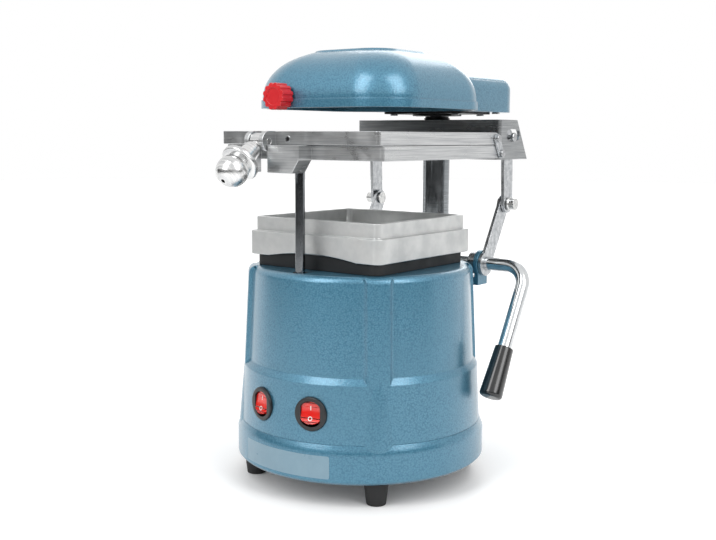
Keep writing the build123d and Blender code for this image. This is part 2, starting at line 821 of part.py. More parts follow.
# ================================================================== carriage yoke
with BuildPart() as carriage_yoke:
    with BuildSketch(Plane.XY.offset(yoke_bottom_z)):
        with Locations((0, web_front_y)):
            Rectangle(yoke_width, web_thickness, align=(Align.CENTER, Align.MIN))
    extrude(amount=yoke_height)
    for side in sides:
        with BuildSketch(side_plane(side, yoke_inner_x)):
            with BuildLine():
                Polyline(
                    (side * web_front_y, yoke_bottom_z),
                    (side * flange_bottom_y, yoke_bottom_z),
                    (side * flange_top_y, yoke_bottom_z + yoke_height),
                    (side * web_front_y, yoke_bottom_z + yoke_height),
                    close=True,
                )
            make_face()
            with Locations((side * slot_y, slot_z)):
                SlotOverall(slot_length, slot_height, mode=Mode.SUBTRACT)
        extrude(amount=web_thickness)
    outer_bends = carriage_yoke.edges().filter_by(Axis.Z).group_by(Axis.Y)[0]
    fillet(outer_bends, radius=web_thickness)
    with BuildSketch(Plane.XZ.offset(-web_front_y)):
        for side in sides:
            with Locations((side * frame_screw_x, frame_screw_z)):
                Circle(frame_screw_diameter / 2 + screw_gap)
    extrude(amount=-web_thickness, mode=Mode.SUBTRACT)
save(carriage_yoke, "carriage_yoke")

web_back_y = web_front_y + web_thickness
with BuildPart() as carriage_sleeve:
    with BuildSketch(Plane.XY.offset(yoke_bottom_z)):
        with Locations((0, column_distance)):
            Circle(sleeve_diameter / 2)
        with Locations((0, web_back_y)):
            Rectangle(sleeve_diameter * 0.7, column_distance - web_back_y, align=(Align.CENTER, Align.MIN))
        with Locations((0, column_distance)):
            Circle(column_diameter / 2 + running_gap, mode=Mode.SUBTRACT)
    extrude(amount=yoke_height)
save(carriage_sleeve, "carriage_sleeve")

# ==================================================================== lower frame
arm_center_x = frame_half - arm_width / 2
knob_seat_z = clamp_pivot_z - knob_flange_distance
fork_half = cheek_gap / 2 + cheek_thickness + air_gap
with BuildPart() as lower_frame:
    with BuildSketch(Plane.XY.offset(lower_frame_z)):
        with Locations((0, (frame_back - lower_frame_front) / 2)):
            RectangleRounded(frame_width, frame_back + lower_frame_front, frame_corner_radius)
        for side in sides:
            with Locations((side * arm_center_x, web_front_y)):
                Rectangle(arm_width, web_front_y - frame_opening / 2, align=(Align.CENTER, Align.MAX))
        RectangleRounded(frame_opening, frame_opening, frame_corner_radius, mode=Mode.SUBTRACT)
    extrude(amount=lower_frame_thickness)
    with BuildSketch(Plane.XY.offset(lower_frame_top_z)):
        RectangleRounded(sheet_size + 1, sheet_size + 1, frame_corner_radius)
    extrude(amount=-sheet_recess_depth, mode=Mode.SUBTRACT)
    with BuildSketch(Plane.XZ.offset(lower_frame_front)):
        with BuildLine():
            Polyline(
                (lug_left, lower_frame_top_z),
                (lug_left, lower_frame_z),
                (lug_foot_left, knob_seat_z + clamp_play),
                (lug_foot_right, knob_seat_z + clamp_play),
                (lug_right, lower_frame_z),
                (lug_right, lower_frame_top_z),
                close=True,
            )
        make_face()
        with Locations((clamp_x, lower_frame_z)):
            Rectangle(2 * fork_half, 2 * lower_frame_top_z, mode=Mode.SUBTRACT)
    extrude(amount=lug_depth)
    with BuildSketch(Plane.XY.offset(knob_seat_z)):
        with Locations((0, rod_y)):
            Circle(rod_diameter / 2 + running_gap)
    extrude(amount=lower_frame_z + rod_grip - knob_seat_z, mode=Mode.SUBTRACT)
    with BuildSketch(Plane.XZ.offset(-web_front_y)):
        for side in sides:
            with Locations((side * frame_screw_x, frame_screw_z)):
                Circle(frame_screw_diameter / 2 + running_gap)
    extrude(amount=14, mode=Mode.SUBTRACT)
    for side in sides:
        with BuildSketch(side_plane(side, frame_half)):
            with Locations((side * hinge_lower_y, hinge_lower_z)):
                Circle(hinge_screw_diameter / 2 + running_gap)
        extrude(amount=-2, mode=Mode.SUBTRACT)
save(lower_frame, "lower_frame")

with BuildPart() as guide_rod:
    with BuildSketch(Plane.XY.offset(rod_bottom_z)):
        with Locations((0, rod_y)):
            Circle(rod_diameter / 2)
    extrude(amount=lower_frame_z + rod_grip - running_gap - rod_bottom_z)
    chamfer(guide_rod.edges().group_by(Axis.Z)[0], length=1)
save(guide_rod, "guide_rod")

with BuildPart() as rod_bush:
    with BuildSketch(Plane.XY.offset(body_top_z - bush_length)):
        with Locations((0, rod_y)):
            Circle(rod_diameter / 2 + bush_wall)
            Circle(rod_diameter / 2 + running_gap, mode=Mode.SUBTRACT)
    extrude(amount=bush_length)
    with BuildSketch(Plane.XY.offset(deck_bottom_z)):
        with Locations((0, rod_y)):
            Circle(rod_diameter / 2 + 2 * bush_wall)
            Circle(rod_diameter / 2 + running_gap, mode=Mode.SUBTRACT)
    extrude(amount=-2)
save(rod_bush, "rod_bush")

with BuildPart() as frame_screws:
    with BuildSketch(Plane.XZ.offset(-web_back_y)):
        for side in sides:
            with Locations((side * frame_screw_x, frame_screw_z)):
                Circle(frame_screw_diameter)
    extrude(amount=-2.5)
    with BuildSketch(Plane.XZ.offset(-web_back_y)):
        for side in sides:
            with Locations((side * frame_screw_x, frame_screw_z)):
                Circle(frame_screw_diameter / 2)
    extrude(amount=web_thickness + 12)
save(frame_screws, "frame_screws")

# ========================================================= hinges and upper frame
plate_inner_x = frame_half
plate_outer_x = frame_half + hinge_plate_thickness
hinge_center = (hinge_y, hinge_z)
hinge_anchor = (hinge_lower_y, hinge_lower_z)
with BuildPart() as hinge_plates:
    for side in sides:
        with BuildSketch(side_plane(side, plate_inner_x + seat_gap)):
            bar_outline(side, hinge_center, hinge_anchor, hinge_plate_width, hinge_plate_width / 2)
            for center in (hinge_center, hinge_anchor):
                with Locations((side * center[0], center[1])):
                    Circle(hinge_screw_diameter / 2 + running_gap, mode=Mode.SUBTRACT)
        extrude(amount=hinge_plate_thickness)
save(hinge_plates, "hinge_plates")

with BuildPart() as hinge_screws:
    for side in sides:
        for center, depth in ((hinge_center, arm_width - 3), (hinge_anchor, 2 - running_gap)):
            with BuildSketch(side_plane(side, plate_outer_x + seat_gap)):
                with Locations((side * center[0], center[1])):
                    Circle(hinge_screw_diameter / 2)
            extrude(amount=-hinge_plate_thickness - seat_gap - depth)
            with BuildSketch(side_plane(side, plate_outer_x + seat_gap)):
                with Locations((side * center[0], center[1])):
                    Circle(hinge_screw_diameter * 0.85)
            extrude(amount=2)
    screw_tops = hinge_screws.edges().filter_by(GeomType.CIRCLE).group_by(Axis.X)
    fillet(screw_tops[0] + screw_tops[-1], radius=1)
save(hinge_screws, "hinge_screws")

with BuildPart() as upper_frame:
    with BuildSketch(Plane.XY.offset(upper_frame_z)):
        with Locations((0, (frame_back - upper_frame_front) / 2)):
            RectangleRounded(frame_width, frame_back + upper_frame_front, frame_corner_radius)
        for side in sides:
            with Locations((side * arm_center_x, hinge_y)):
                Rectangle(arm_width, hinge_y - frame_opening / 2, align=(Align.CENTER, Align.MAX))
        RectangleRounded(frame_opening, frame_opening, frame_corner_radius, mode=Mode.SUBTRACT)
    extrude(amount=upper_frame_thickness)
    for side in sides:
        with BuildSketch(side_plane(side, frame_half - arm_width)):
            with Locations((side * hinge_y, hinge_z)):
                Circle(upper_frame_thickness / 2)
        extrude(amount=arm_width)
        with BuildSketch(side_plane(side, frame_half)):
            with Locations((side * hinge_y, hinge_z)):
                Circle(hinge_screw_diameter / 2 + running_gap)
        extrude(amount=-arm_width + 2, mode=Mode.SUBTRACT)
    for side in sides:
        with BuildSketch(Plane.YZ.offset(clamp_x + side * (cheek_gap + cheek_thickness) / 2)):
            with Locations((clamp_pivot_y, clamp_pivot_z)):
                Circle(cheek_radius)
            with Locations((clamp_pivot_y, upper_frame_top_z)):
                Rectangle(
                    -upper_frame_front - clamp_pivot_y + 1,
                    upper_frame_top_z - clamp_pivot_z + cheek_radius * 0.7,
                    align=(Align.MIN, Align.MAX),
                )
        extrude(amount=cheek_thickness / 2, both=True)
    with BuildSketch(Plane.YZ.offset(clamp_x)):
        with Locations((clamp_pivot_y, clamp_pivot_z)):
            Circle(clevis_pin_diameter / 2 + running_gap)
    extrude(amount=cheek_gap + cheek_thickness, both=True, mode=Mode.SUBTRACT)
save(upper_frame, "upper_frame")

with BuildPart() as clevis_pin:
    with BuildSketch(Plane.YZ.offset(clamp_x)):
        with Locations((clamp_pivot_y, clamp_pivot_z)):
            Circle(clevis_pin_diameter / 2)
    extrude(amount=cheek_gap / 2 + cheek_thickness, both=True)
save(clevis_pin, "clevis_pin")

# ============================================================ swing bolt and knob
bolt_axis = (0, -cos(radians(bolt_angle)), -sin(radians(bolt_angle)))
bolt_plane = Plane(
    origin=(clamp_x, clamp_pivot_y, clamp_pivot_z),
    x_dir=(1, 0, 0),
    z_dir=bolt_axis,
)
with BuildPart() as swing_bolt:
    with BuildSketch(Plane.YZ.offset(clamp_x)):
        with Locations((clamp_pivot_y, clamp_pivot_z)):
            Circle(eye_diameter / 2)
    extrude(amount=cheek_gap / 2 - seat_gap, both=True)
    with BuildSketch(bolt_plane):
        Circle(bolt_diameter / 2)
    extrude(amount=bolt_length)
    with BuildSketch(Plane.YZ.offset(clamp_x)):
        with Locations((clamp_pivot_y, clamp_pivot_z)):
            Circle(clevis_pin_diameter / 2 + running_gap)
    extrude(amount=cheek_gap, both=True, mode=Mode.SUBTRACT)
save(swing_bolt, "swing_bolt")

with BuildPart() as knob_neck:
    with BuildSketch(bolt_plane.offset(neck_start)):
        Circle(neck_small_diameter / 2)
    with BuildSketch(bolt_plane.offset(knob_flange_distance)):
        Circle(knob_neck_diameter / 2)
    loft()
    with BuildSketch(bolt_plane):
        Circle(bolt_diameter / 2 + running_gap)
    extrude(amount=knob_flange_distance, mode=Mode.SUBTRACT)
save(knob_neck, "knob_neck")

ball_radius = knob_ball_diameter / 2
ball_center = knob_length - ball_radius
with BuildPart() as clamp_knob:
    with BuildSketch(Plane.XZ) as knob_profile:
        with BuildLine():
            flange_end = knob_flange_distance + knob_flange_thickness
            ball_foot = (ball_radius * cos(radians(35)), ball_center - ball_radius * sin(radians(35)))
            Polyline(
                (0, knob_flange_distance),
                (knob_flange_diameter / 2, knob_flange_distance),
                (knob_flange_diameter / 2, flange_end),
                ball_foot,
            )
            ThreePointArc(
                ball_foot,
                (ball_radius * cos(radians(25)), ball_center + ball_radius * sin(radians(25))),
                (0, knob_length),
            )
            Line((0, knob_length), (0, knob_flange_distance))
        make_face()
        flange_rims = knob_profile.vertices().group_by(Axis.X)[-1]
        fillet(flange_rims, radius=1.5)
    revolve(axis=Axis.Z)
    with BuildSketch(Plane.XY):
        Circle(bolt_diameter / 2 + running_gap)
    extrude(amount=bolt_length + 1, mode=Mode.SUBTRACT)
    with BuildSketch(Plane.XY.offset(knob_length)):
        Circle(knob_end_hole / 2)
    extrude(amount=-(knob_length - bolt_length - 3), mode=Mode.SUBTRACT)
clamp_knob.part = clamp_knob.part.moved(bolt_plane.location)
save(clamp_knob, "clamp_knob")

# ======================================================= switches, gland and fuse
for azimuth, name in ((-switch_azimuth, "heating"), (switch_azimuth, "suction")):
    seat = wall_plane(azimuth, switch_z)
    face = seat.offset(bezel_thickness)
    with BuildPart() as switch_bezel:
        with BuildSketch(seat):
            Circle(bezel_diameter / 2)
        extrude(amount=bezel_thickness)
        fillet(switch_bezel.edges().filter_by(GeomType.CIRCLE).sort_by_distance(face.origin * 2)[0], radius=1)
        with BuildSketch(seat):
            Circle(barrel_diameter / 2)
        extrude(amount=-barrel_depth)
        with BuildSketch(face):
            Circle(rocker_window_height / 2)
            Rectangle(rocker_width + 2 * air_gap, rocker_window_height, mode=Mode.INTERSECT)
        extrude(amount=-bezel_thickness - barrel_depth + 4, mode=Mode.SUBTRACT)
        with BuildSketch(Plane(origin=seat.offset(-rocker_pivot_depth).origin, x_dir=seat.y_dir, z_dir=seat.x_dir)):
            Circle(rocker_pin_diameter / 2 + running_gap)
        extrude(amount=rocker_width / 2 + 1.6, both=True, mode=Mode.SUBTRACT)
    save(switch_bezel, f"switch_bezel_{name}")

    pivot = seat.offset(-rocker_pivot_depth).origin
    tilt = radians(rocker_throw / 2)
    outward = seat.z_dir
    tilted_out = outward * cos(tilt) + Vector(0, 0, 1) * sin(tilt)
    rocker_side = Plane(origin=pivot, x_dir=tilted_out, z_dir=seat.x_dir)
    front = rocker_pivot_depth + bezel_thickness
    half = rocker_height / 2
    with BuildPart() as rocker:
        with BuildSketch(rocker_side):
            with BuildLine():
                Line((-rocker_depth, -half * 0.6), (0, -half))
                Line((0, -half), (front, -half))
                ThreePointArc((front, -half), (front - rocker_dish, 0), (front, half))
                Line((front, half), (0, half))
                Line((0, half), (-rocker_depth, half * 0.6))
                Line((-rocker_depth, half * 0.6), (-rocker_depth, -half * 0.6))
            make_face()
        extrude(amount=rocker_width / 2, both=True)
        with BuildSketch(Plane(origin=pivot, x_dir=seat.x_dir, z_dir=tilted_out).offset(-rocker_depth)):
            Circle(half)
        extrude(amount=rocker_depth + front, mode=Mode.INTERSECT)
        with BuildSketch(rocker_side):
            Circle(rocker_pin_diameter / 2)
        extrude(amount=rocker_width / 2 + 1.4, both=True)
    save(rocker, f"rocker_{name}")

with BuildPart() as cable_gland:
    with BuildSketch(wall_plane(180, switch_z)):
        RegularPolygon(gland_diameter / 2, 6)
    extrude(amount=5)
    with BuildSketch(wall_plane(180, switch_z).offset(5)):
        Circle(gland_diameter * 0.38)
    extrude(amount=6, taper=8)
    with BuildSketch(wall_plane(180, switch_z)):
        Circle(gland_diameter / 3)
    extrude(amount=-gland_diameter + 4)
    with BuildSketch(wall_plane(180, switch_z).offset(11)):
        Circle(gland_bore / 2)
    extrude(amount=-gland_diameter - 11, mode=Mode.SUBTRACT)
save(cable_gland, "cable_gland")

with BuildPart() as fuse_holder:
    with BuildSketch(wall_plane(fuse_azimuth, switch_z)):
        Circle(fuse_diameter / 2)
    extrude(amount=3)
    with BuildSketch(wall_plane(fuse_azimuth, switch_z).offset(3)):
        Circle(fuse_diameter * 0.36)
    extrude(amount=5)
    with BuildSketch(wall_plane(fuse_azimuth, switch_z).offset(8)):
        Rectangle(fuse_diameter * 0.6, 1.2)
    extrude(amount=-1.2, mode=Mode.SUBTRACT)
    with BuildSketch(wall_plane(fuse_azimuth, switch_z)):
        Circle(fuse_diameter / 3)
    extrude(amount=-16)
save(fuse_holder, "fuse_holder")

# ==================================================================== heater head
tail_start_y = head_center_y + head_width / 2 - 34
tail_length = tail_end_y - tail_start_y
tail_wall_y = head_center_y + head_width / 2 + head_wall
crown_shares = (1.0, 0.955, 0.87, 0.74, 0.56)
crown_width = head_width - 2 * rim_step


def crown_level(share, inset):
    """Height of the dome's skin where it has drawn in to a share of its width."""
    rise = head_top_z - top_panel_rise - inset - head_rim_z - head_rim_height
    drawn_in = ((1 - share**2.6) / (1 - crown_shares[-1] ** 2.6)) ** (1 / 2.2)
    return head_rim_z + head_rim_height + rise * drawn_in


with BuildPart() as dome_cavity:
    for share in crown_shares:
        inner_width = (crown_width - 2 * head_wall) * share
        with BuildSketch(Plane.XY.offset(crown_level(share, head_wall))):
            with Locations((0, head_center_y)):
                RectangleRounded(inner_width, inner_width, (head_corner_radius - head_wall) * share)
    loft()
    with BuildSketch(Plane.XY.offset(head_rim_z)):
        with Locations((0, head_center_y)):
            inner_width = crown_width - 2 * head_wall
            RectangleRounded(inner_width, inner_width, head_corner_radius - head_wall)
    extrude(amount=head_rim_height)
    with BuildSketch(Plane.XY.offset(pan_top_z)):
        with Locations((0, head_center_y)):
            with GridLocations(pan_boss_pitch, pan_boss_pitch, 2, 2):
                Circle(pan_boss_diameter / 2)
    extrude(amount=head_top_z - pan_top_z, mode=Mode.SUBTRACT)

cover_screw_spots = ((-cover_screw_x, cover_screw_y), (cover_screw_x, cover_screw_y))
with BuildPart() as tail_cavity:
    with BuildSketch(Plane.XY.offset(head_rim_z)):
        with Locations((0, tail_start_y + tail_length / 2)):
            RectangleRounded(
                tail_width - 2 * head_wall,
                tail_length - 2 * head_wall,
                tail_corner_radius - head_wall,
            )
        with Locations((0, tail_wall_y)):
            Rectangle(tail_width, tail_length, align=(Align.CENTER, Align.MAX), mode=Mode.SUBTRACT)
    extrude(amount=tail_top_z - head_rim_z - head_wall)
    with BuildSketch(Plane.XY.offset(head_rim_z + tail_cover_thickness)):
        with Locations((0, column_distance)):
            with GridLocations(plate_screw_pitch_x, plate_screw_pitch_y, 2, 2):
                Circle(plate_screw_diameter)
        with Locations(*cover_screw_spots):
            Circle(plate_screw_diameter)
    extrude(amount=tail_top_z - head_rim_z, mode=Mode.SUBTRACT)

with BuildPart() as head_shell:
    with BuildSketch(Plane.XY.offset(head_rim_z)):
        with Locations((0, tail_start_y + tail_length / 2)):
            RectangleRounded(tail_width, tail_length, tail_corner_radius)
    extrude(amount=tail_top_z - head_rim_z)
    fillet(head_shell.faces().sort_by(Axis.Z)[-1].edges(), radius=tail_edge_radius)
    for share in crown_shares:
        with BuildSketch(Plane.XY.offset(crown_level(share, 0))):
            with Locations((0, head_center_y)):
                RectangleRounded(crown_width * share, crown_width * share, head_corner_radius * share)
    loft()
    with BuildSketch(Plane.XY.offset(head_rim_z)):
        with Locations((0, head_center_y)):
            RectangleRounded(head_width, head_width, head_corner_radius)
    extrude(amount=head_rim_height)
    with BuildSketch(Plane.XY.offset(head_top_z - top_panel_rise)):
        with Locations((0, head_center_y)):
            RectangleRounded(top_panel_width, top_panel_width, top_panel_corner)
    extrude(amount=top_panel_rise, taper=top_panel_slope)
    add(dome_cavity.part, mode=Mode.SUBTRACT)
    add(tail_cavity.part, mode=Mode.SUBTRACT)
    with BuildSketch(Plane.XZ.offset(head_width / 2 - head_center_y)):
        with Locations((head_knob_x, head_knob_z)):
            Circle(knob_stud_diameter / 2 + screw_gap)
    extrude(amount=-2 * head_wall, mode=Mode.SUBTRACT)
    with BuildSketch(Plane.XY.offset(head_rim_z + tail_cover_thickness)):
        with Locations((0, column_distance)):
            with GridLocations(plate_screw_pitch_x, plate_screw_pitch_y, 2, 2):
                Circle(plate_screw_diameter / 2 + running_gap)
        with Locations(*cover_screw_spots):
            Circle(plate_screw_diameter / 2 + running_gap)
    extrude(amount=plate_screw_length, mode=Mode.SUBTRACT)
    with BuildSketch(Plane.XY.offset(head_top_z)):
        with Locations(top_screw_spot):
            Circle(top_screw_diameter + screw_gap)
    extrude(amount=-1.5, mode=Mode.SUBTRACT)
    with BuildSketch(Plane.XY.offset(head_top_z)):
        with Locations(top_screw_spot):
            Circle(top_screw_diameter / 2 + running_gap)
    extrude(amount=-12, mode=Mode.SUBTRACT)
save(head_shell, "head_shell")

with BuildPart() as tail_cover:
    with BuildSketch(Plane.XY.offset(head_rim_z)):
        with Locations((0, tail_start_y + tail_length / 2)):
            RectangleRounded(
                tail_width - 2 * head_wall - 2 * screw_gap,
                tail_length - 2 * head_wall - 2 * screw_gap,
                tail_corner_radius - head_wall,
            )
        with Locations((0, tail_wall_y + screw_gap)):
            Rectangle(tail_width, tail_length, align=(Align.CENTER, Align.MAX), mode=Mode.SUBTRACT)
        with Locations((0, column_distance)):
            Circle(spindle_diameter / 2 + running_gap, mode=Mode.SUBTRACT)
            with GridLocations(plate_screw_pitch_x, plate_screw_pitch_y, 2, 2):
                Circle(plate_screw_diameter / 2 + screw_gap, mode=Mode.SUBTRACT)
        with Locations(*cover_screw_spots):
            Circle(plate_screw_diameter / 2 + screw_gap, mode=Mode.SUBTRACT)
    extrude(amount=tail_cover_thickness)
save(tail_cover, "tail_cover")

pivot_plate_z = head_rim_z - pivot_plate_thickness
pivot_disc_z = pivot_plate_z - pivot_disc_thickness
with BuildPart() as pivot_plate:
    with BuildSketch(Plane.XY.offset(pivot_plate_z)):
        with Locations((0, column_distance)):
            RectangleRounded(pivot_plate_width, pivot_plate_depth, 8)
            Circle(spindle_diameter / 2 + running_gap, mode=Mode.SUBTRACT)
            with GridLocations(plate_screw_pitch_x, plate_screw_pitch_y, 2, 2):
                Circle(plate_screw_diameter / 2 + screw_gap, mode=Mode.SUBTRACT)
    extrude(amount=pivot_plate_thickness)
save(pivot_plate, "pivot_plate")

with BuildPart() as pivot_disc:
    with BuildSketch(Plane.XY.offset(pivot_disc_z)):
        with Locations((0, column_distance)):
            Circle(pivot_disc_diameter / 2)
            Circle(spindle_diameter / 2 + running_gap, mode=Mode.SUBTRACT)
    extrude(amount=pivot_disc_thickness)
save(pivot_disc, "pivot_disc")

with BuildPart() as plate_screws:
    for spots, head_top in ((plate_screw_spots, pivot_plate_z), (cover_screw_spots, head_rim_z)):
        with BuildSketch(Plane.XY.offset(head_top)):
            with Locations(*spots):
                Circle(plate_screw_diameter * 0.9)
        extrude(amount=-1.5)
        with BuildSketch(Plane.XY.offset(head_top)):
            with Locations(*spots):
                Circle(plate_screw_diameter / 2)
        extrude(amount=head_rim_z + plate_screw_length - head_top)
save(plate_screws, "plate_screws")

nut_z = head_rim_z + tail_cover_thickness + air_gap
with BuildPart() as spindle_nut:
    with BuildSketch(Plane.XY.offset(nut_z)):
        with Locations((0, column_distance)):
            RegularPolygon(nut_width / 2, 6, major_radius=False)
            Circle(spindle_diameter / 2 + running_gap, mode=Mode.SUBTRACT)
    extrude(amount=column_top_z + spindle_height - nut_z)
save(spindle_nut, "spindle_nut")

with BuildPart() as head_top_screw:
    with BuildSketch(Plane.XY.offset(head_top_z - 1.5)):
        with Locations(top_screw_spot):
            Circle(top_screw_diameter)
    extrude(amount=2.5)
    fillet(head_top_screw.edges().group_by(Axis.Z)[-1], radius=1)
    with BuildSketch(Plane.XY.offset(head_top_z - 1.5)):
        with Locations(top_screw_spot):
            Circle(top_screw_diameter / 2)
    extrude(amount=-7)
save(head_top_screw, "head_top_screw")

with BuildPart() as heater_pan:
    with BuildSketch(Plane.XY.offset(pan_top_z - pan_depth)):
        with Locations((0, head_center_y)):
            RectangleRounded(pan_width, pan_width, 20)
    extrude(amount=pan_depth)
    fillet(heater_pan.faces().sort_by(Axis.Z)[-1].edges(), radius=4)
    offset(amount=-pan_wall, openings=heater_pan.faces().sort_by(Axis.Z)[0])
    with BuildSketch(Plane.XY.offset(pan_top_z)):
        with Locations((-2 * element_pitch, head_center_y - element_length / 2)):
            Circle(element_diameter / 2 + screw_gap)
        with Locations((2 * element_pitch, head_center_y + element_length / 2)):
            Circle(element_diameter / 2 + screw_gap)
    extrude(amount=-2 * pan_wall, mode=Mode.SUBTRACT)
save(heater_pan, "heater_pan")

element_top_z = pan_top_z + 8
near_y = head_center_y - element_length / 2
far_y = head_center_y + element_length / 2
with BuildPart() as heating_element:
    with BuildLine() as element_path:
        FilletPolyline(
            (-2 * element_pitch, near_y, element_top_z),
            (-2 * element_pitch, near_y, element_z),
            (-2 * element_pitch, far_y, element_z),
            (-element_pitch, far_y, element_z),
            (-element_pitch, near_y, element_z),
            (0, near_y, element_z),
            (0, far_y, element_z),
            (element_pitch, far_y, element_z),
            (element_pitch, near_y, element_z),
            (2 * element_pitch, near_y, element_z),
            (2 * element_pitch, far_y, element_z),
            (2 * element_pitch, far_y, element_top_z),
            radius=element_pitch / 2 - 0.1,
        )
    with BuildSketch(Plane.XY.offset(element_top_z)):
        with Locations((-2 * element_pitch, near_y)):
            Circle(element_diameter / 2)
    sweep()
save(heating_element, "heating_element")

with BuildPart() as element_posts:
    with BuildSketch(Plane.XY.offset(element_z + element_diameter / 2)):
        with Locations((0, head_center_y)):
            with GridLocations(2 * element_pitch, element_length / 2, 3, 2):
                Circle(post_diameter / 2)
    extrude(amount=pan_top_z - pan_wall - element_z - element_diameter / 2)
save(element_posts, "element_posts")

knob_back_y = head_center_y - head_width / 2 - seat_gap
knob_plane = Plane(
    origin=(head_knob_x, knob_back_y, head_knob_z),
    x_dir=(1, 0, 0),
    z_dir=(0, -1, 0),
)
with BuildPart() as head_knob:
    with BuildSketch(knob_plane):
        Circle(head_knob_diameter / 2)
        with PolarLocations(head_knob_diameter / 2 + 0.5, knob_flutes):
            Circle(1.7, mode=Mode.SUBTRACT)
    extrude(amount=head_knob_length)
    with BuildSketch(knob_plane.offset(head_knob_length)):
        Circle(head_knob_diameter * 0.32)
    extrude(amount=-1, mode=Mode.SUBTRACT)
    with BuildSketch(knob_plane):
        Circle(knob_stud_diameter / 2 + running_gap)
    extrude(amount=head_knob_length - 4, mode=Mode.SUBTRACT)
save(head_knob, "head_knob")

with BuildPart() as knob_stud:
    with BuildSketch(knob_plane.offset(head_knob_length - 4 - running_gap)):
        Circle(knob_stud_diameter / 2)
    extrude(amount=-head_knob_length + 4 - head_wall - rim_step - 7)
    with BuildSketch(knob_plane.offset(-seat_gap - head_wall - rim_step - 1.2)):
        RegularPolygon(knob_stud_diameter * 0.8, 6, major_radius=False)
    extrude(amount=-4)
save(knob_stud, "knob_stud")
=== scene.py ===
"""Looks of a dental vacuum former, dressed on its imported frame.

Every piece is in metres in the frame of the CAD model: +Z up, the floor at
z = 0, the front towards -Y and the lever on the +X side.
"""

import json
import logging
import math
from dataclasses import dataclass
from enum import Enum
from typing import Any

import bmesh
import bpy
from mathutils import Matrix, Vector

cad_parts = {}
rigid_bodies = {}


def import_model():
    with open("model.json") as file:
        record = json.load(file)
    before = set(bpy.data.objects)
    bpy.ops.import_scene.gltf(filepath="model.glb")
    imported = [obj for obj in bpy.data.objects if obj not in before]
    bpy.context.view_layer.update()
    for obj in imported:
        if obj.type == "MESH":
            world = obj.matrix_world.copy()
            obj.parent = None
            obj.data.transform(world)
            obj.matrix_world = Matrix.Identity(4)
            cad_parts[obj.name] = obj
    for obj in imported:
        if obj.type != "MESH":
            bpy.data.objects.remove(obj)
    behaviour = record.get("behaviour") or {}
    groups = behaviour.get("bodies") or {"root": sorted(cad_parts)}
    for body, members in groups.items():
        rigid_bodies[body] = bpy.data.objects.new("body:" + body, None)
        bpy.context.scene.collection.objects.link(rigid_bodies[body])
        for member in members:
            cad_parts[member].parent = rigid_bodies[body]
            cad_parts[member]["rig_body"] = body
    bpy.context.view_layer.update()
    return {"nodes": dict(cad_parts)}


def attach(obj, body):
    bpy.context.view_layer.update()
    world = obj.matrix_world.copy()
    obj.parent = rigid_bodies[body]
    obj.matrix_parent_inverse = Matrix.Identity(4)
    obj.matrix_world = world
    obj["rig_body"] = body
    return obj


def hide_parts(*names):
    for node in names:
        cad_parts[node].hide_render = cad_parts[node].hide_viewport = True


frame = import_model()

LOG = logging.getLogger("vacuum_former")
MM = 0.001


class Slot(Enum):
    """The record's material slots."""

    PAINT = "blue_hammer_paint"
    CAST = "cast_aluminium"
    BRUSHED = "brushed_aluminium"
    POLISHED = "polished_aluminium"
    BRIGHT = "bright_steel"
    PLATED = "plated_steel"
    SCREWS = "screws"
    DARK = "dark_steel"
    RUBBER = "black_rubber"
    BLACK = "black_plastic"
    RED = "red_plastic"
    MOTOR = "motor_casing"
    REFLECTOR = "reflector_steel"
    SHEATH = "element_sheath"
    CERAMIC = "ceramic_posts"


class Run(Enum):
    """The way that the lines of a brushed or ground surface run."""

    ALONG_X = (1.0, 0.0, 0.0)
    ALONG_Y = (0.0, 1.0, 0.0)
    LEVEL = (1.0, 1.0, 0.0)


# ------------------------------------------------------------------ small tools
def linear_colour(code: str) -> tuple[float, float, float, float]:
    """Turns an sRGB hex colour to the linear colour that a shader takes.

    Args:
        code: The colour as "#rrggbb".

    Returns:
        Red, green, blue and alpha, linear.
    """
    levels = [int(code[at:at + 2], 16) / 255 for at in (1, 3, 5)]
    red, green, blue = (v / 12.92 if v <= 0.04045 else ((v + 0.055) / 1.055) ** 2.4 for v in levels)
    return red, green, blue, 1.0


def add_node(
    tree: bpy.types.NodeTree,
    kind: str,
    values: dict[str | int, Any] | None = None,
    links: dict[str | int, bpy.types.NodeSocket] | None = None,
    **settings: Any,
) -> bpy.types.Node:
    """Adds a node with its settings and links.

    Args:
        tree: The node tree that gets the node.
        kind: The node's type name.
        values: Input socket to the value that it holds.
        links: Input socket to the output socket that feeds it.
        **settings: The node's own properties.

    Returns:
        The new node.
    """
    node = tree.nodes.new(kind)
    for name, value in settings.items():
        setattr(node, name, value)
    for socket, value in (values or {}).items():
        node.inputs[socket].default_value = value
    for socket, source in (links or {}).items():
        tree.links.new(source, node.inputs[socket])
    return node


def pattern_space(
    tree: bpy.types.NodeTree,
    sizes_mm: tuple[float, float, float],
    turn: tuple[float, float, float] = (0.0, 0.0, 0.0),
) -> bpy.types.NodeSocket:
    """Gives object coordinates in which a pattern's cell is one unit long.

    Args:
        tree: The material's node tree.
        sizes_mm: The cell's real size along each axis, in millimetres.
        turn: Angles in radians that turn the pattern with its piece.

    Returns:
        The vector socket to feed a texture.
    """
    place = add_node(tree, "ShaderNodeTexCoord").outputs["Object"]
    turned = add_node(tree, "ShaderNodeMapping", {"Rotation": turn}, {"Vector": place})
    scale = tuple(1 / (size * MM) for size in sizes_mm)
    return add_node(
        tree, "ShaderNodeMapping", {"Scale": scale}, {"Vector": turned.outputs["Vector"]}
    ).outputs["Vector"]


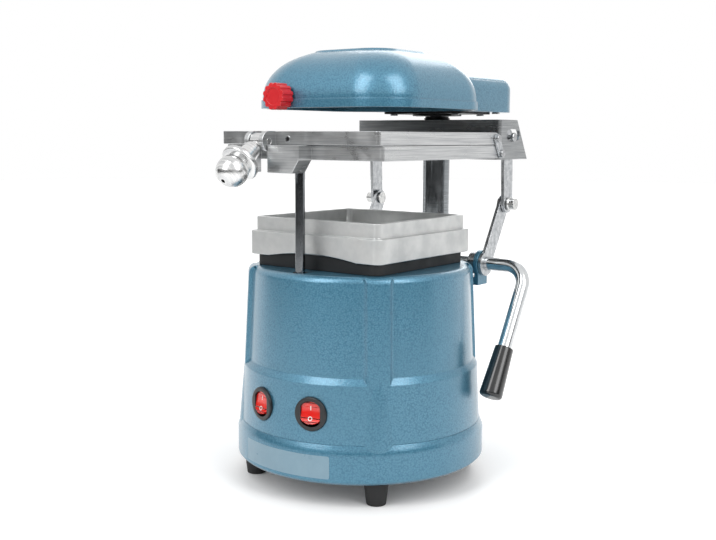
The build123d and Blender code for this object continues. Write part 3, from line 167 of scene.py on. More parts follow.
def colour_blend(
    tree: bpy.types.NodeTree, share: bpy.types.NodeSocket, first: str, second: str
) -> bpy.types.NodeSocket:
    """Blends two hex colours by a pattern.

    Args:
        tree: The material's node tree.
        share: 0 gives the first colour and 1 the second.
        first: The colour at 0.
        second: The colour at 1.

    Returns:
        The colour socket.
    """
    return add_node(
        tree,
        "ShaderNodeMix",
        {6: linear_colour(first), 7: linear_colour(second)},
        {0: share},
        data_type="RGBA",
    ).outputs[2]


def spread(
    tree: bpy.types.NodeTree,
    source: bpy.types.NodeSocket,
    low: float,
    high: float,
    to_low: float = 0.0,
    to_high: float = 1.0,
) -> bpy.types.NodeSocket:
    """Stretches a pattern's values from one range to another.

    Args:
        tree: The material's node tree.
        source: The pattern.
        low: The pattern value that becomes to_low.
        high: The pattern value that becomes to_high.
        to_low: The result at low.
        to_high: The result at high.

    Returns:
        The stretched pattern.
    """
    limits = {"From Min": low, "From Max": high, "To Min": to_low, "To Max": to_high}
    return add_node(tree, "ShaderNodeMapRange", limits, {"Value": source}).outputs["Result"]


# --------------------------------------------------------------------- finishes
@dataclass(frozen=True)
class Finish:
    """A finish of the machine, as one material.

    Attributes:
        name: What the real surface is called.
        slot: The record's slot that the finish belongs to; not used.
    """

    name: str
    slot: Slot

    def material(self) -> bpy.types.Material:
        """Gives the finish's material, and makes it the first time."""
        made = bpy.data.materials.get(self.name)
        if made is None:
            made = bpy.data.materials.new(self.name)
            made.use_nodes = True
            tree = made.node_tree
            tree.nodes.clear()
            shader = add_node(tree, "ShaderNodeBsdfPrincipled")
            add_node(tree, "ShaderNodeOutputMaterial", links={"Surface": shader.outputs["BSDF"]})
            self.dress(tree, shader)
        return made

    def dress(self, tree: bpy.types.NodeTree, shader: bpy.types.Node) -> None:
        """Sets the shader up as the finish; each kind of finish has its own."""
        raise NotImplementedError


@dataclass(frozen=True)
class HammerEnamel(Finish):
    """Hammertone enamel, sprayed and stoved on cast and pressed metal.

    The paint pulls into small dimples as it dries, so a highlight breaks into
    sparks, and each dimple's floor is painted a little darker: painted shade,
    mixed with the enamel's own uneven grain of tone.
    """

    dimple_mm: float = 1.35
    relief_mm: float = 0.08
    edge_mm: float = 1.3
    painted_dimple_shade_colour: str = "#39708a"
    crest_colour: str = "#538ba4"
    cloud_colour: str = "#457b93"

    def dress(self, tree: bpy.types.NodeTree, shader: bpy.types.Node) -> None:
        """Fine dimples under a clear gloss, painted shade in their floors, slow clouds of tone, and rounded edges.
        """
        space = pattern_space(tree, (self.dimple_mm,) * 3)
        cells = add_node(
            tree,
            "ShaderNodeTexVoronoi",
            {"Scale": 1.0, "Smoothness": 0.55, "Randomness": 1.0},
            {"Vector": space},
            feature="SMOOTH_F1",
        ).outputs["Distance"]
        grain = add_node(
            tree, "ShaderNodeTexNoise", {"Scale": 1.6, "Detail": 3.0, "Roughness": 0.55}, {"Vector": space}
        ).outputs[0]
        clouds = add_node(
            tree, "ShaderNodeTexNoise", {"Scale": 1.0, "Detail": 2.0}, {"Vector": pattern_space(tree, (38.0,) * 3)}
        ).outputs[0]
        uneven = add_node(
            tree, "ShaderNodeMath", {1: 0.45}, {0: grain, 2: cells}, operation="MULTIPLY_ADD"
        ).outputs[0]
        # painted shade: the low floors of the dimples take the darker blue, mixed with the random grain
        tone = colour_blend(tree, spread(tree, uneven, 0.35, 1.0), self.crest_colour, self.painted_dimple_shade_colour)
        drift = add_node(
            tree,
            "ShaderNodeMix",
            {7: linear_colour(self.cloud_colour)},
            {0: spread(tree, clouds, 0.3, 0.8, 0.0, 0.5), 6: tone},
            data_type="RGBA",
        ).outputs[2]
        rounded = add_node(tree, "ShaderNodeBevel", {"Radius": self.edge_mm * MM}, samples=4)
        relief = add_node(
            tree,
            "ShaderNodeBump",
            {"Strength": 1.0, "Distance": self.relief_mm * MM},
            {"Height": spread(tree, uneven, 0.2, 1.2, 1.0, 0.0), "Normal": rounded.outputs["Normal"]},
        ).outputs["Normal"]
        for socket, source in (("Base Color", drift), ("Normal", relief), ("Coat Normal", relief)):
            tree.links.new(source, shader.inputs[socket])
        shader.inputs["Metallic"].default_value = 0.45
        shader.inputs["Roughness"].default_value = 0.36
        shader.inputs["Coat Weight"].default_value = 0.7
        shader.inputs["Coat Roughness"].default_value = 0.13


@dataclass(frozen=True)
class CastMetal(Finish):
    """Sand cast aluminium, fettled and vapour blasted, with a fine open grain.

    The light skin is even and matte, with soft clouds and a few dark pits.
    """

    grain_mm: tuple[float, float, float] = (0.6, 0.6, 2.2)
    relief_mm: float = 0.03
    skin_colour: str = "#cdcecd"
    shade_colour: str = "#bbbdbd"
    roughness: float = 0.42

    def dress(self, tree: bpy.types.NodeTree, shader: bpy.types.Node) -> None:
        """A fine upright grain, faint clouds in the tone, and pits here and there."""
        space = pattern_space(tree, self.grain_mm)
        grain = add_node(
            tree, "ShaderNodeTexNoise", {"Scale": 1.0, "Detail": 4.0, "Roughness": 0.65}, {"Vector": space}
        ).outputs[0]
        clouds = add_node(
            tree, "ShaderNodeTexNoise", {"Scale": 1.0, "Detail": 3.0}, {"Vector": pattern_space(tree, (16.0,) * 3)}
        ).outputs[0]
        pits = add_node(
            tree, "ShaderNodeTexVoronoi", {"Scale": 0.22, "Randomness": 1.0}, {"Vector": space}
        ).outputs["Distance"]
        pitted = add_node(
            tree,
            "ShaderNodeMath",
            links={0: spread(tree, pits, 0.05, 0.16), 1: grain},
            operation="MULTIPLY",
        ).outputs[0]
        tree.links.new(
            colour_blend(tree, spread(tree, clouds, 0.35, 0.7), self.skin_colour, self.shade_colour),
            shader.inputs["Base Color"],
        )
        shader.inputs["Metallic"].default_value = 1.0
        tree.links.new(
            spread(tree, clouds, 0.3, 0.7, self.roughness - 0.06, self.roughness + 0.08),
            shader.inputs["Roughness"],
        )
        relief = add_node(
            tree, "ShaderNodeBump", {"Strength": 1.0, "Distance": self.relief_mm * MM}, {"Height": pitted}
        )
        tree.links.new(relief.outputs["Normal"], shader.inputs["Normal"])


@dataclass(frozen=True)
class LinedMetal(Finish):
    """Metal whose surface is brushed, ground or drawn, so that fine lines run one way.

    The lines smear a highlight across themselves and leave light and dark streaks.
    """

    run: Run = Run.ALONG_X
    line_mm: float = 0.7
    line_length_mm: float = 55.0
    relief_mm: float = 0.012
    light_colour: str = "#dedfdf"
    dark_colour: str = "#b4b6b8"
    roughness: float = 0.3
    streak: float = 0.12

    def dress(self, tree: bpy.types.NodeTree, shader: bpy.types.Node) -> None:
        """Long thin noise along the run, in the tone, the gloss and the relief."""
        sizes = tuple(self.line_length_mm if along else self.line_mm for along in self.run.value)
        space = pattern_space(tree, sizes)
        lines = add_node(
            tree, "ShaderNodeTexNoise", {"Scale": 1.0, "Detail": 3.0, "Roughness": 0.6}, {"Vector": space}
        ).outputs[0]
        marks = add_node(
            tree,
            "ShaderNodeTexNoise",
            {"Scale": 1.0, "Detail": 2.0, "Distortion": 0.6},
            {"Vector": pattern_space(tree, (21.0,) * 3)},
        ).outputs[0]
        tree.links.new(
            colour_blend(tree, spread(tree, lines, 0.36, 0.66), self.light_colour, self.dark_colour),
            shader.inputs["Base Color"],
        )
        handled = add_node(
            tree,
            "ShaderNodeMath",
            links={
                0: spread(tree, lines, 0.3, 0.7, self.roughness - self.streak / 2, self.roughness),
                1: spread(tree, marks, 0.35, 0.75, 0.0, self.streak),
            },
            operation="ADD",
        ).outputs[0]
        tree.links.new(handled, shader.inputs["Roughness"])
        shader.inputs["Metallic"].default_value = 1.0
        relief = add_node(
            tree, "ShaderNodeBump", {"Strength": 1.0, "Distance": self.relief_mm * MM}, {"Height": lines}
        )
        tree.links.new(relief.outputs["Normal"], shader.inputs["Normal"])


@dataclass(frozen=True)
class TurnedMetal(Finish):
    """Metal turned on a lathe and polished, with tool rings round its axis.

    The rings catch the light as thin bands at right angles to the axis.
    """

    tilt: float = 0.0
    ring_mm: float = 1.1
    relief_mm: float = 0.008
    light_colour: str = "#e3e3e2"
    dark_colour: str = "#bfc0c1"
    roughness: float = 0.24

    def dress(self, tree: bpy.types.NodeTree, shader: bpy.types.Node) -> None:
        """Bands along the axis, a little uneven, with smudges from handling."""
        space = pattern_space(tree, (self.ring_mm * 40, self.ring_mm * 40, self.ring_mm), (self.tilt, 0.0, 0.0))
        rings = add_node(
            tree, "ShaderNodeTexNoise", {"Scale": 1.0, "Detail": 2.0, "Roughness": 0.5}, {"Vector": space}
        ).outputs[0]
        smudges = add_node(
            tree, "ShaderNodeTexNoise", {"Scale": 1.0, "Detail": 3.0}, {"Vector": pattern_space(tree, (9.0,) * 3)}
        ).outputs[0]
        tree.links.new(
            colour_blend(tree, spread(tree, rings, 0.35, 0.7), self.light_colour, self.dark_colour),
            shader.inputs["Base Color"],
        )
        tree.links.new(
            spread(tree, smudges, 0.35, 0.7, self.roughness - 0.05, self.roughness + 0.08),
            shader.inputs["Roughness"],
        )
        shader.inputs["Metallic"].default_value = 1.0
        relief = add_node(
            tree, "ShaderNodeBump", {"Strength": 1.0, "Distance": self.relief_mm * MM}, {"Height": rings}
        )
        tree.links.new(relief.outputs["Normal"], shader.inputs["Normal"])


@dataclass(frozen=True)
class PlatedMetal(Finish):
    """Steel with a thin bright plating, zinc or chrome, over a rolled surface.

    Zinc has a soft grey spangle, chrome a deep gloss with faint wiping marks.
    """

    spangle_mm: float = 4.0
    light_colour: str = "#c9cbcd"
    dark_colour: str = "#a3a6a9"
    roughness: float = 0.3
    relief_mm: float = 0.006

    def dress(self, tree: bpy.types.NodeTree, shader: bpy.types.Node) -> None:
        """Soft patches in tone and gloss, and a very low rolled waviness."""
        patches = add_node(
            tree,
            "ShaderNodeTexNoise",
            {"Scale": 1.0, "Detail": 4.0, "Roughness": 0.6},
            {"Vector": pattern_space(tree, (self.spangle_mm,) * 3)},
        ).outputs[0]
        tree.links.new(
            colour_blend(tree, spread(tree, patches, 0.35, 0.68), self.light_colour, self.dark_colour),
            shader.inputs["Base Color"],
        )
        tree.links.new(
            spread(tree, patches, 0.3, 0.7, self.roughness * 0.8, self.roughness * 1.25),
            shader.inputs["Roughness"],
        )
        shader.inputs["Metallic"].default_value = 1.0
        relief = add_node(
            tree, "ShaderNodeBump", {"Strength": 1.0, "Distance": self.relief_mm * MM}, {"Height": patches}
        )
        tree.links.new(relief.outputs["Normal"], shader.inputs["Normal"])


@dataclass(frozen=True)
class Moulding(Finish):
    """Moulded plastic, rubber, ceramic or plain paint, with its skin's grain.

    Gloss comes from the mould's polish; rubber is nearly matte and a little
    dusty, a polished plastic mirrors the lamps.
    """

    colour: str = "#1a1b1c"
    pale_colour: str = "#242628"
    grain_mm: float = 0.8
    relief_mm: float = 0.01
    roughness: float = 0.35
    coat: float = 0.0
    glow_through: float = 0.0

    def dress(self, tree: bpy.types.NodeTree, shader: bpy.types.Node) -> None:
        """Fine grain in the relief, and slow patches in the tone and the gloss."""
        grain = add_node(
            tree,
            "ShaderNodeTexNoise",
            {"Scale": 1.0, "Detail": 3.0},
            {"Vector": pattern_space(tree, (self.grain_mm,) * 3)},
        ).outputs[0]
        patches = add_node(
            tree, "ShaderNodeTexNoise", {"Scale": 1.0, "Detail": 3.0}, {"Vector": pattern_space(tree, (14.0,) * 3)}
        ).outputs[0]
        tree.links.new(
            colour_blend(tree, spread(tree, patches, 0.35, 0.75), self.colour, self.pale_colour),
            shader.inputs["Base Color"],
        )
        tree.links.new(
            spread(tree, patches, 0.3, 0.75, self.roughness * 0.88, self.roughness * 1.2),
            shader.inputs["Roughness"],
        )
        shader.inputs["Coat Weight"].default_value = self.coat
        shader.inputs["Coat Roughness"].default_value = 0.08
        shader.inputs["IOR"].default_value = 1.5
        if self.glow_through:
            shader.inputs["Subsurface Weight"].default_value = self.glow_through
            shader.inputs["Subsurface Radius"].default_value = (2.5, 0.4, 0.3)
            shader.inputs["Subsurface Scale"].default_value = MM
        relief = add_node(
            tree, "ShaderNodeBump", {"Strength": 1.0, "Distance": self.relief_mm * MM}, {"Height": grain}
        )
        tree.links.new(relief.outputs["Normal"], shader.inputs["Normal"])


KNOB_TILT = math.radians(-126)

PAINT = HammerEnamel("hammertone_enamel", Slot.PAINT)
CAST_BED = CastMetal("cast_aluminium_blasted", Slot.CAST)
FRAME_METAL = LinedMetal(
    "brushed_aluminium_frame", Slot.BRUSHED, Run.LEVEL, light_colour="#cfd0d0", dark_colour="#a9abad"
)
CLAMP_METAL = TurnedMetal("turned_aluminium_polished", Slot.POLISHED, tilt=KNOB_TILT)
PIN_METAL = PlatedMetal("turned_steel_nickelled", Slot.BRIGHT, 3.0, "#dcdcda", "#bcbdbd", 0.2)
CHROME = PlatedMetal("chromed_steel", Slot.BRIGHT, 12.0, "#d9dbdc", "#c6c9cb", 0.13, 0.002)
ROD_STEEL = PlatedMetal("ground_steel_rod", Slot.BRIGHT, 12.0, "#7a7d80", "#696c6f", 0.15, 0.002)
# the column's chrome is toned far darker than the lever's chrome: a painted dark reflection of its surroundings
COLUMN_STEEL = LinedMetal(
    "ground_chromed_column_painted_dark", Slot.BRIGHT, Run.LEVEL, 1.0, 40.0, 0.004, "#94989b", "#7d8184", 0.17, 0.08
)
ZINC = PlatedMetal("zinc_plated_steel", Slot.PLATED)
YOKE_STEEL = LinedMetal(
    "brushed_steel_strip", Slot.PLATED, Run.LEVEL, 0.6, 40.0, 0.01, "#a9abac", "#858789", 0.3, 0.1
)
SCREW_STEEL = PlatedMetal("zinc_plated_screws", Slot.SCREWS, 2.0, "#b9babb", "#8f9193", 0.28)
BLACKED_STEEL = PlatedMetal("oil_blacked_steel", Slot.DARK, 5.0, "#3b3b3c", "#232324", 0.42)
RUBBER = Moulding("moulded_nitrile_rubber", Slot.RUBBER, "#131314", "#1c1d1e", 1.2, 0.03, 0.6)
BLACK_NYLON = Moulding("moulded_black_nylon", Slot.BLACK, "#141517", "#1d1f21", 0.7, 0.008, 0.34)
GRIP_PLASTIC = Moulding("polished_black_grip", Slot.BLACK, "#0f1011", "#17191a", 1.5, 0.004, 0.2, 0.5)
RED_KNOB = Moulding("moulded_red_abs", Slot.RED, "#c91a22", "#d8262c", 0.8, 0.012, 0.33, 0.2)
RED_LENS = Moulding("tinted_acrylic_rocker", Slot.RED, "#e2231d", "#f0392c", 1.5, 0.003, 0.2, 0.6, 0.35)
MOTOR_PAINT = Moulding("stoved_motor_paint", Slot.MOTOR, "#3d4043", "#4a4e52", 0.9, 0.01, 0.45)
REFLECTOR = LinedMetal(
    "rolled_reflector_steel", Slot.REFLECTOR, Run.ALONG_Y, 0.8, 70.0, 0.01, "#c3c5c6", "#9c9fa1", 0.26, 0.12
)
SHEATH = PlatedMetal("heat_tinted_sheath", Slot.SHEATH, 6.0, "#7c6a5c", "#4b453f", 0.45)
CERAMIC = Moulding("fired_steatite", Slot.CERAMIC, "#e6e0d2", "#d8d0bf", 1.0, 0.015, 0.5)
BLANK_FILM = Moulding("satin_polyester_film", Slot.PAINT, "#7d9bab", "#84a1b0", 3.0, 0.002, 0.3)
WHITE_PRINT = Moulding("pad_printed_white", Slot.RED, "#f0ece8", "#e2dcd6", 1.0, 0.004, 0.4)


# ------------------------------------------------------------------ piece making
def finish_piece(shape: bmesh.types.BMesh, name: str, body: str, finish: Finish) -> bpy.types.Object:
    """Turns a shape into a piece that rides on a body in its finish.

    Args:
        shape: The piece's mesh, in place; it is freed here.
        name: The piece's name.
        body: The body that the piece moves with.
        finish: The finish that it wears.

    Returns:
        The piece, with its object at the origin.
    """
    mesh = bpy.data.meshes.new(name)
    shape.to_mesh(mesh)
    shape.free()
    mesh.materials.append(finish.material())
    piece = bpy.data.objects.new(name, mesh)
    bpy.context.scene.collection.objects.link(piece)
    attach(piece, body)
    return piece


def merged_copy(node: str) -> bmesh.types.BMesh:
    """Copies a CAD node's mesh with its doubled points merged and its flats whole.

    Args:
        node: The CAD node.

    Returns:
        The copy, to be freed by whoever finishes it.
    """
    shape = bmesh.new()
    shape.from_mesh(frame["nodes"][node].data)
    bmesh.ops.remove_doubles(shape, verts=shape.verts, dist=0.002 * MM)
    bmesh.ops.dissolve_limit(shape, angle_limit=math.radians(0.05), verts=shape.verts, edges=shape.edges)
    return shape


def ease(piece: bpy.types.Object, edge_mm: float, crease: float) -> None:
    """Shades a piece smooth between its edges, and eases the edges if they have a width.

    Args:
        piece: The piece.
        edge_mm: The width of its eased edges, or 0 where its finish rounds them.
        crease: Faces that meet at more than this many degrees meet at an edge.
    """
    shape = bmesh.new()
    shape.from_mesh(piece.data)
    for edge in shape.edges:
        edge.smooth = edge.is_manifold and edge.calc_face_angle(0.0) < math.radians(crease)
    for face in shape.faces:
        face.smooth = True
    shape.to_mesh(piece.data)
    shape.free()
    if edge_mm:
        bevel = piece.modifiers.new("eased_edges", "BEVEL")
        bevel.width = edge_mm * MM
        bevel.segments = 2
        bevel.limit_method = "ANGLE"
        bevel.angle_limit = math.radians(crease)
        bevel.use_clamp_overlap = False
        bevel.harden_normals = True
    else:
        even = piece.modifiers.new("even_normals", "WEIGHTED_NORMAL")
        even.mode = "FACE_AREA"
        even.keep_sharp = True


def dressed(
    node: str,
    finish: Finish,
    edge_mm: float = 0.0,
    crease: float = 33.0,
    shape: bmesh.types.BMesh | None = None,
) -> bpy.types.Object:
    """Stands a finished copy for a CAD node, with its edges eased.

    Args:
        node: The CAD node that the copy replaces.
        finish: The finish that the copy wears.
        edge_mm: The width of its eased edges, or 0 where the finish rounds them.
        crease: Faces that meet at more than this many degrees meet at an edge.
        shape: The node's merged copy, where it was worked on first.

    Returns:
        The copy.
    """
    body = frame["nodes"][node]["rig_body"]
    piece = finish_piece(shape or merged_copy(node), f"{node}_finished", body, finish)
    ease(piece, edge_mm, crease)
    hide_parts(node)
    LOG.info("dressed %s as %s", node, finish.name)
    return piece


def turned(
    name: str, body: str, finish: Finish, profile: list[tuple[float, float]], place: Matrix
) -> bpy.types.Object:
    """Turns a closed profile about its own Z axis and sets it in place.

    Args:
        name: The piece's name.
        body: The body that the piece moves with.
        finish: The finish that it wears.
        profile: Radius and height of each corner, in millimetres, in order.
        place: Where the piece's own axes lie on the machine.

    Returns:
        The piece.
    """
    shape = bmesh.new()
    section = [shape.verts.new((radius * MM, 0.0, height * MM)) for radius, height in profile]
    edges = [shape.edges.new((section[at - 1], section[at])) for at in range(len(section))]
    bmesh.ops.spin(
        shape, geom=section + edges, cent=(0, 0, 0), axis=(0, 0, 1), angle=math.tau, steps=40, use_merge=True
    )
    bmesh.ops.remove_doubles(shape, verts=shape.verts, dist=0.002 * MM)
    bmesh.ops.recalc_face_normals(shape, faces=shape.faces)
    bmesh.ops.transform(shape, verts=shape.verts, matrix=place)
    return finish_piece(shape, name, body, finish)


@dataclass
class SubAssembly:
    """A group of pieces that a maker would put together on the bench."""

    def build(self) -> None:
        """Builds and dresses the group's pieces."""
        raise NotImplementedError


@dataclass
class BodyAndBase(SubAssembly):
    """The round base: painted drum and ring, bottom plate, feet and their screws."""

    plate_edge: float = 0.3
    rubber_edge: float = 0.6
    screw_edge: float = 0.25
    ring_radius: float = 107.5
    shoulder_foot: float = 43.4
    shoulder_top: float = 51.4
    shoulder_radius: float = 104.3
    drum_foot: float = 104.2
    drum_taper: float = 6.7 / 132.6
    ledge_foot: float = 98.0
    panel_depth: float = 3.5
    rib_half: float = 9.0
    draft: float = 2.6
    draft_reach: float = 22.0
    foot_half_axes: tuple[float, float] = (8.2, 16.0)
    foot_axis_low: tuple[float, float] = (98.5, 44.0)
    foot_axis_high: tuple[float, float] = (93.6, 98.9)
    label_rise: float = 0.18
    label_low: float = 24.5
    label_high: float = 43.0
    label_corner: float = 1.6
    label_ends: tuple[float, float] = (-24.2, 23.7)

    def build(self) -> None:
        """Dresses the solids and lays the blank film under the switches."""
        dressed("body_housing", PAINT, shape=self.drafted_body())
        dressed("base_ring", PAINT, crease=24.0, shape=self.shouldered_ring())
        dressed("bottom_plate", ZINC, self.plate_edge)
        dressed("rubber_feet", RUBBER, self.rubber_edge)
        dressed("foot_screws", SCREW_STEEL, self.screw_edge)
        dressed("body_screws", SCREW_STEEL, self.screw_edge)
        self.label("label_film", *self.label_ends)
        self.rib_feet()

    def drafted_body(self) -> bmesh.types.BMesh:
        """Gives the drum the draft of a casting on the flanks and feet of its ribs.

        Returns:
            The drum's copy, with each rib flank leaning away from its rib.
        """
        shape = merged_copy("body_housing")
        for vert in shape.verts:
            radius = vert.co.xy.length / MM
            height = vert.co.z / MM
            wall = self.drum_foot - self.drum_taper * (height - self.shoulder_top)
            depth = (wall - radius) / self.panel_depth
            quarter = math.tau / 4
            around = math.atan2(vert.co.y, vert.co.x) % quarter - quarter / 2
            across = abs(around) * radius
            if height > self.ledge_foot and 0 < depth < 1.2 and across > self.rib_half - 1.6:
                fade = min(1.0, max(0.0, (self.draft_reach - across) / (self.draft_reach - self.rib_half - 2)))
                lean = math.copysign(self.draft * min(depth, 1.0) * fade / radius, around)
                vert.co = Matrix.Rotation(lean, 3, "Z") @ vert.co
            elif depth < -0.15 and height > self.shoulder_top - 1:
                vert.co.xy *= (wall + 0.05) / radius
        return shape

    def rib_feet(self) -> None:
        """Swells each rib toward its foot, where it runs out over the ring's shoulder."""
        shape = bmesh.new()
        outward, around = self.foot_half_axes
        (low_out, low), (high_out, high) = self.foot_axis_low, self.foot_axis_high
        lean = Matrix((
            (outward, 0.0, high_out - low_out, (high_out + low_out) / 2),
            (0.0, around, 0.0, 0.0),
            (0.0, 0.0, high - low, (high + low) / 2),
            (0.0, 0.0, 0.0, 1.0),
        ))
        for quarter in range(4):
            turn = Matrix.Rotation(math.radians(45 + 90 * quarter), 4, "Z")
            bmesh.ops.create_cone(
                shape, cap_ends=True, segments=128, radius1=1.0, radius2=1.0, depth=1.0,
                matrix=Matrix.Scale(MM, 4) @ turn @ lean,
            )
        piece = finish_piece(shape, "rib_feet", "base", PAINT)
        ease(piece, 0.0, 60)

    def shouldered_ring(self) -> bmesh.types.BMesh:
        """Gives the base ring the sloped shoulder of its casting.

        Returns:
            The ring's copy, with a cone between its wall and its top.
        """
        shape = merged_copy("base_ring")
        bmesh.ops.bisect_plane(
            shape,
            geom=shape.verts[:] + shape.edges[:] + shape.faces[:],
            plane_co=(0, 0, self.shoulder_foot * MM),
            plane_no=(0, 0, 1),
        )
        slope = (self.ring_radius - self.shoulder_radius) / (self.shoulder_top - self.shoulder_foot)
        for vert in shape.verts:
            radius = vert.co.xy.length / MM
            above = vert.co.z / MM - self.shoulder_foot
            if above > 0 and radius > self.shoulder_radius - 0.2:
                vert.co.xy *= (self.ring_radius - slope * above) / radius
        return shape

    def label(self, name: str, start: float, end: float) -> None:
        """Lays a blank film on the base ring.

        Args:
            name: The film's name.
            start: Its first end, in degrees from the front towards +X.
            end: Its other end.
        """
        shape = bmesh.new()
        inner, outer = self.ring_radius - 0.05, self.ring_radius + self.label_rise
        corners = [
            shape.verts.new((0.0, -radius * MM, height * MM))
            for radius, height in (
                (inner, self.label_low), (outer, self.label_low),
                (outer, self.label_high), (inner, self.label_high),
            )
        ]
        shape.faces.new(corners)
        bmesh.ops.rotate(
            shape, verts=shape.verts, cent=(0, 0, 0), matrix=Matrix.Rotation(math.radians(start), 3, "Z")
        )
        bmesh.ops.spin(
            shape,
            geom=shape.verts[:] + shape.edges[:] + shape.faces[:],
            cent=(0, 0, 0),
            axis=(0, 0, 1),
            angle=math.radians(end - start),
            steps=16,
            use_merge=False,
        )
        bmesh.ops.recalc_face_normals(shape, faces=shape.faces)
        thickness = (outer - inner) * MM
        ends = (math.radians(start), math.radians(end))
        corner_edges = [
            edge
            for edge in shape.edges
            if abs(edge.calc_length() - thickness) < 1e-6
            and any(abs(math.atan2(edge.verts[0].co.x, -edge.verts[0].co.y) - at) < 1e-4 for at in ends)
        ]
        bmesh.ops.bevel(
            shape, geom=corner_edges, offset=self.label_corner * MM, offset_type="OFFSET",
            segments=4, profile=0.5, affect="EDGES", material=-1, clamp_overlap=True,
        )
        finish_piece(shape, name, "base", BLANK_FILM)
        LOG.info("laid %s", name)


@dataclass
class SuctionUnit(SubAssembly):
    """The suction motor inside the drum, with its mount and duct."""

    casing_edge: float = 0.8
    mount_edge: float = 0.6

    def build(self) -> None:
        """Dresses the motor, its rubber mount and its duct."""
        dressed("vacuum_motor", MOTOR_PAINT, self.casing_edge)
        dressed("motor_mount", RUBBER, self.mount_edge)
        dressed("suction_duct", BLACK_NYLON, self.mount_edge)


@dataclass
class MouldingBed(SubAssembly):
    """The square cast bed with its gasket and perforated plate."""

    cast_edge: float = 0.7
    gasket_edge: float = 0.6
    plate_edge: float = 0.2

    def build(self) -> None:
        """Dresses the gasket, the bed and the plate."""
        dressed("bed_gasket", RUBBER, self.gasket_edge)
        dressed("vacuum_bed", CAST_BED, self.cast_edge)
        dressed("perforated_plate", FRAME_METAL, self.plate_edge)


@dataclass
class ColumnAndBracket(SubAssembly):
    """The rear column, the painted bracket that holds it, and their fastenings."""

    column_edge: float = 0.5
    ring_edge: float = 0.2
    screw_edge: float = 0.25

    beam_end: float = 52.0
    arm_foot: float = 161.0

    def cut_back_beam(self) -> bmesh.types.BMesh:
        """Cuts the beam's ends back under the ears, so that a slim arm carries each.

        Returns:
            The bracket's copy with both lower corners cut away.
        """
        shape = merged_copy("rear_bracket")
        for side in (-1, 1):
            cuts = (((side * self.beam_end * MM, 0, 0), (1, 0, 0)), ((0, 0, self.arm_foot * MM), (0, 0, 1)))
            for point, normal in cuts:
                bmesh.ops.bisect_plane(
                    shape, geom=shape.verts[:] + shape.edges[:] + shape.faces[:],
                    plane_co=point, plane_no=normal,
                )
            corner = []
            for face in shape.faces:
                middle = face.calc_center_median() / MM
                if side * middle.x > self.beam_end and middle.z < self.arm_foot:
                    corner.append(face)
            bmesh.ops.delete(shape, geom=corner, context="FACES")
            bmesh.ops.remove_doubles(shape, verts=shape.verts, dist=0.01 * MM)
            rim = [edge for edge in shape.edges if edge.is_boundary]
            inner = [
                vert
                for vert in {vert for edge in rim for vert in edge.verts}
                if abs(side * vert.co.x / MM - self.beam_end) < 0.02
                and abs(vert.co.z / MM - self.arm_foot) < 0.02
            ]
            inner.sort(key=lambda vert: vert.co.y)
            seam = shape.edges.get((inner[0], inner[-1])) or shape.edges.new((inner[0], inner[-1]))
            for level in (True, False):
                loop = [
                    edge
                    for edge in rim
                    if all(abs(vert.co.z / MM - self.arm_foot) < 0.02 for vert in edge.verts) is level
                ]
                bmesh.ops.contextual_create(shape, geom=loop + [seam])
        bmesh.ops.recalc_face_normals(shape, faces=shape.faces)
        return shape

    def build(self) -> None:
        """Dresses the bracket, the column, the neck rings, nut, screws and bush."""
        dressed("rear_bracket", PAINT, shape=self.cut_back_beam())
        dressed("column", COLUMN_STEEL, self.column_edge)
        dressed("neck_rings", BLACKED_STEEL, self.ring_edge)
        dressed("spindle_nut", SCREW_STEEL, self.screw_edge)
        dressed("bracket_screws", SCREW_STEEL, self.screw_edge)
        dressed("column_set_screw", SCREW_STEEL, self.ring_edge)
        dressed("rod_bush", BLACK_NYLON, self.screw_edge)


@dataclass
class LoweringLinkage(SubAssembly):
    """The lever bar with its grip, the two cranks and links, and their pins."""

    bar_edge: float = 0.3
    grip_edge: float = 0.8
    strip_edge: float = 0.35
    pin_edge: float = 0.4
    knee: tuple[float, float] = (123.5, 232.4)
    barrel_start: float = 77.9
    barrel_radius: float = 5.3
    barrel_length: float = 5.0

    def build(self) -> None:
        """Dresses the lever's pieces and both sides of the linkage."""
        dressed("lever_bar", CHROME, self.bar_edge)
        dressed("lever_grip", GRIP_PLASTIC, self.grip_edge)
        dressed("shaft_collars", SCREW_STEEL, self.strip_edge)
        dressed("knee_pins", PIN_METAL, self.pin_edge)
        for side in ("left", "right"):
            dressed(f"crank_{side}", ZINC, self.strip_edge)
            dressed(f"link_{side}", ZINC, self.strip_edge)
            dressed(f"top_pin_{side}", SCREW_STEEL, self.pin_edge)
        for name, side in (("left", -1), ("right", 1)):
            self.barrel(name, side)

    def barrel(self, name: str, side: int) -> None:
        """Screws a turned barrel nut onto the outer end of a knee pin.

        Args:
            name: The nut's side, as in its name.
            side: 1 for the lever's side and -1 for the other.
        """
        radius, length, edge = self.barrel_radius, self.barrel_length, self.pin_edge
        profile = [
            (0.0, 0.0), (radius, 0.0), (radius, length - edge),
            (radius - 0.3 * edge, length - 0.3 * edge), (radius - edge, length), (0.0, length),
        ]
        knee_y, knee_z = self.knee
        place = Matrix.Translation(Vector((side * self.barrel_start, knee_y, knee_z)) * MM)
        nut = turned(
            f"knee_nut_{name}", "lever", PIN_METAL, profile,
            place @ Matrix.Rotation(side * math.pi / 2, 4, "Y"),
        )
        ease(nut, 0.0, 50.0)


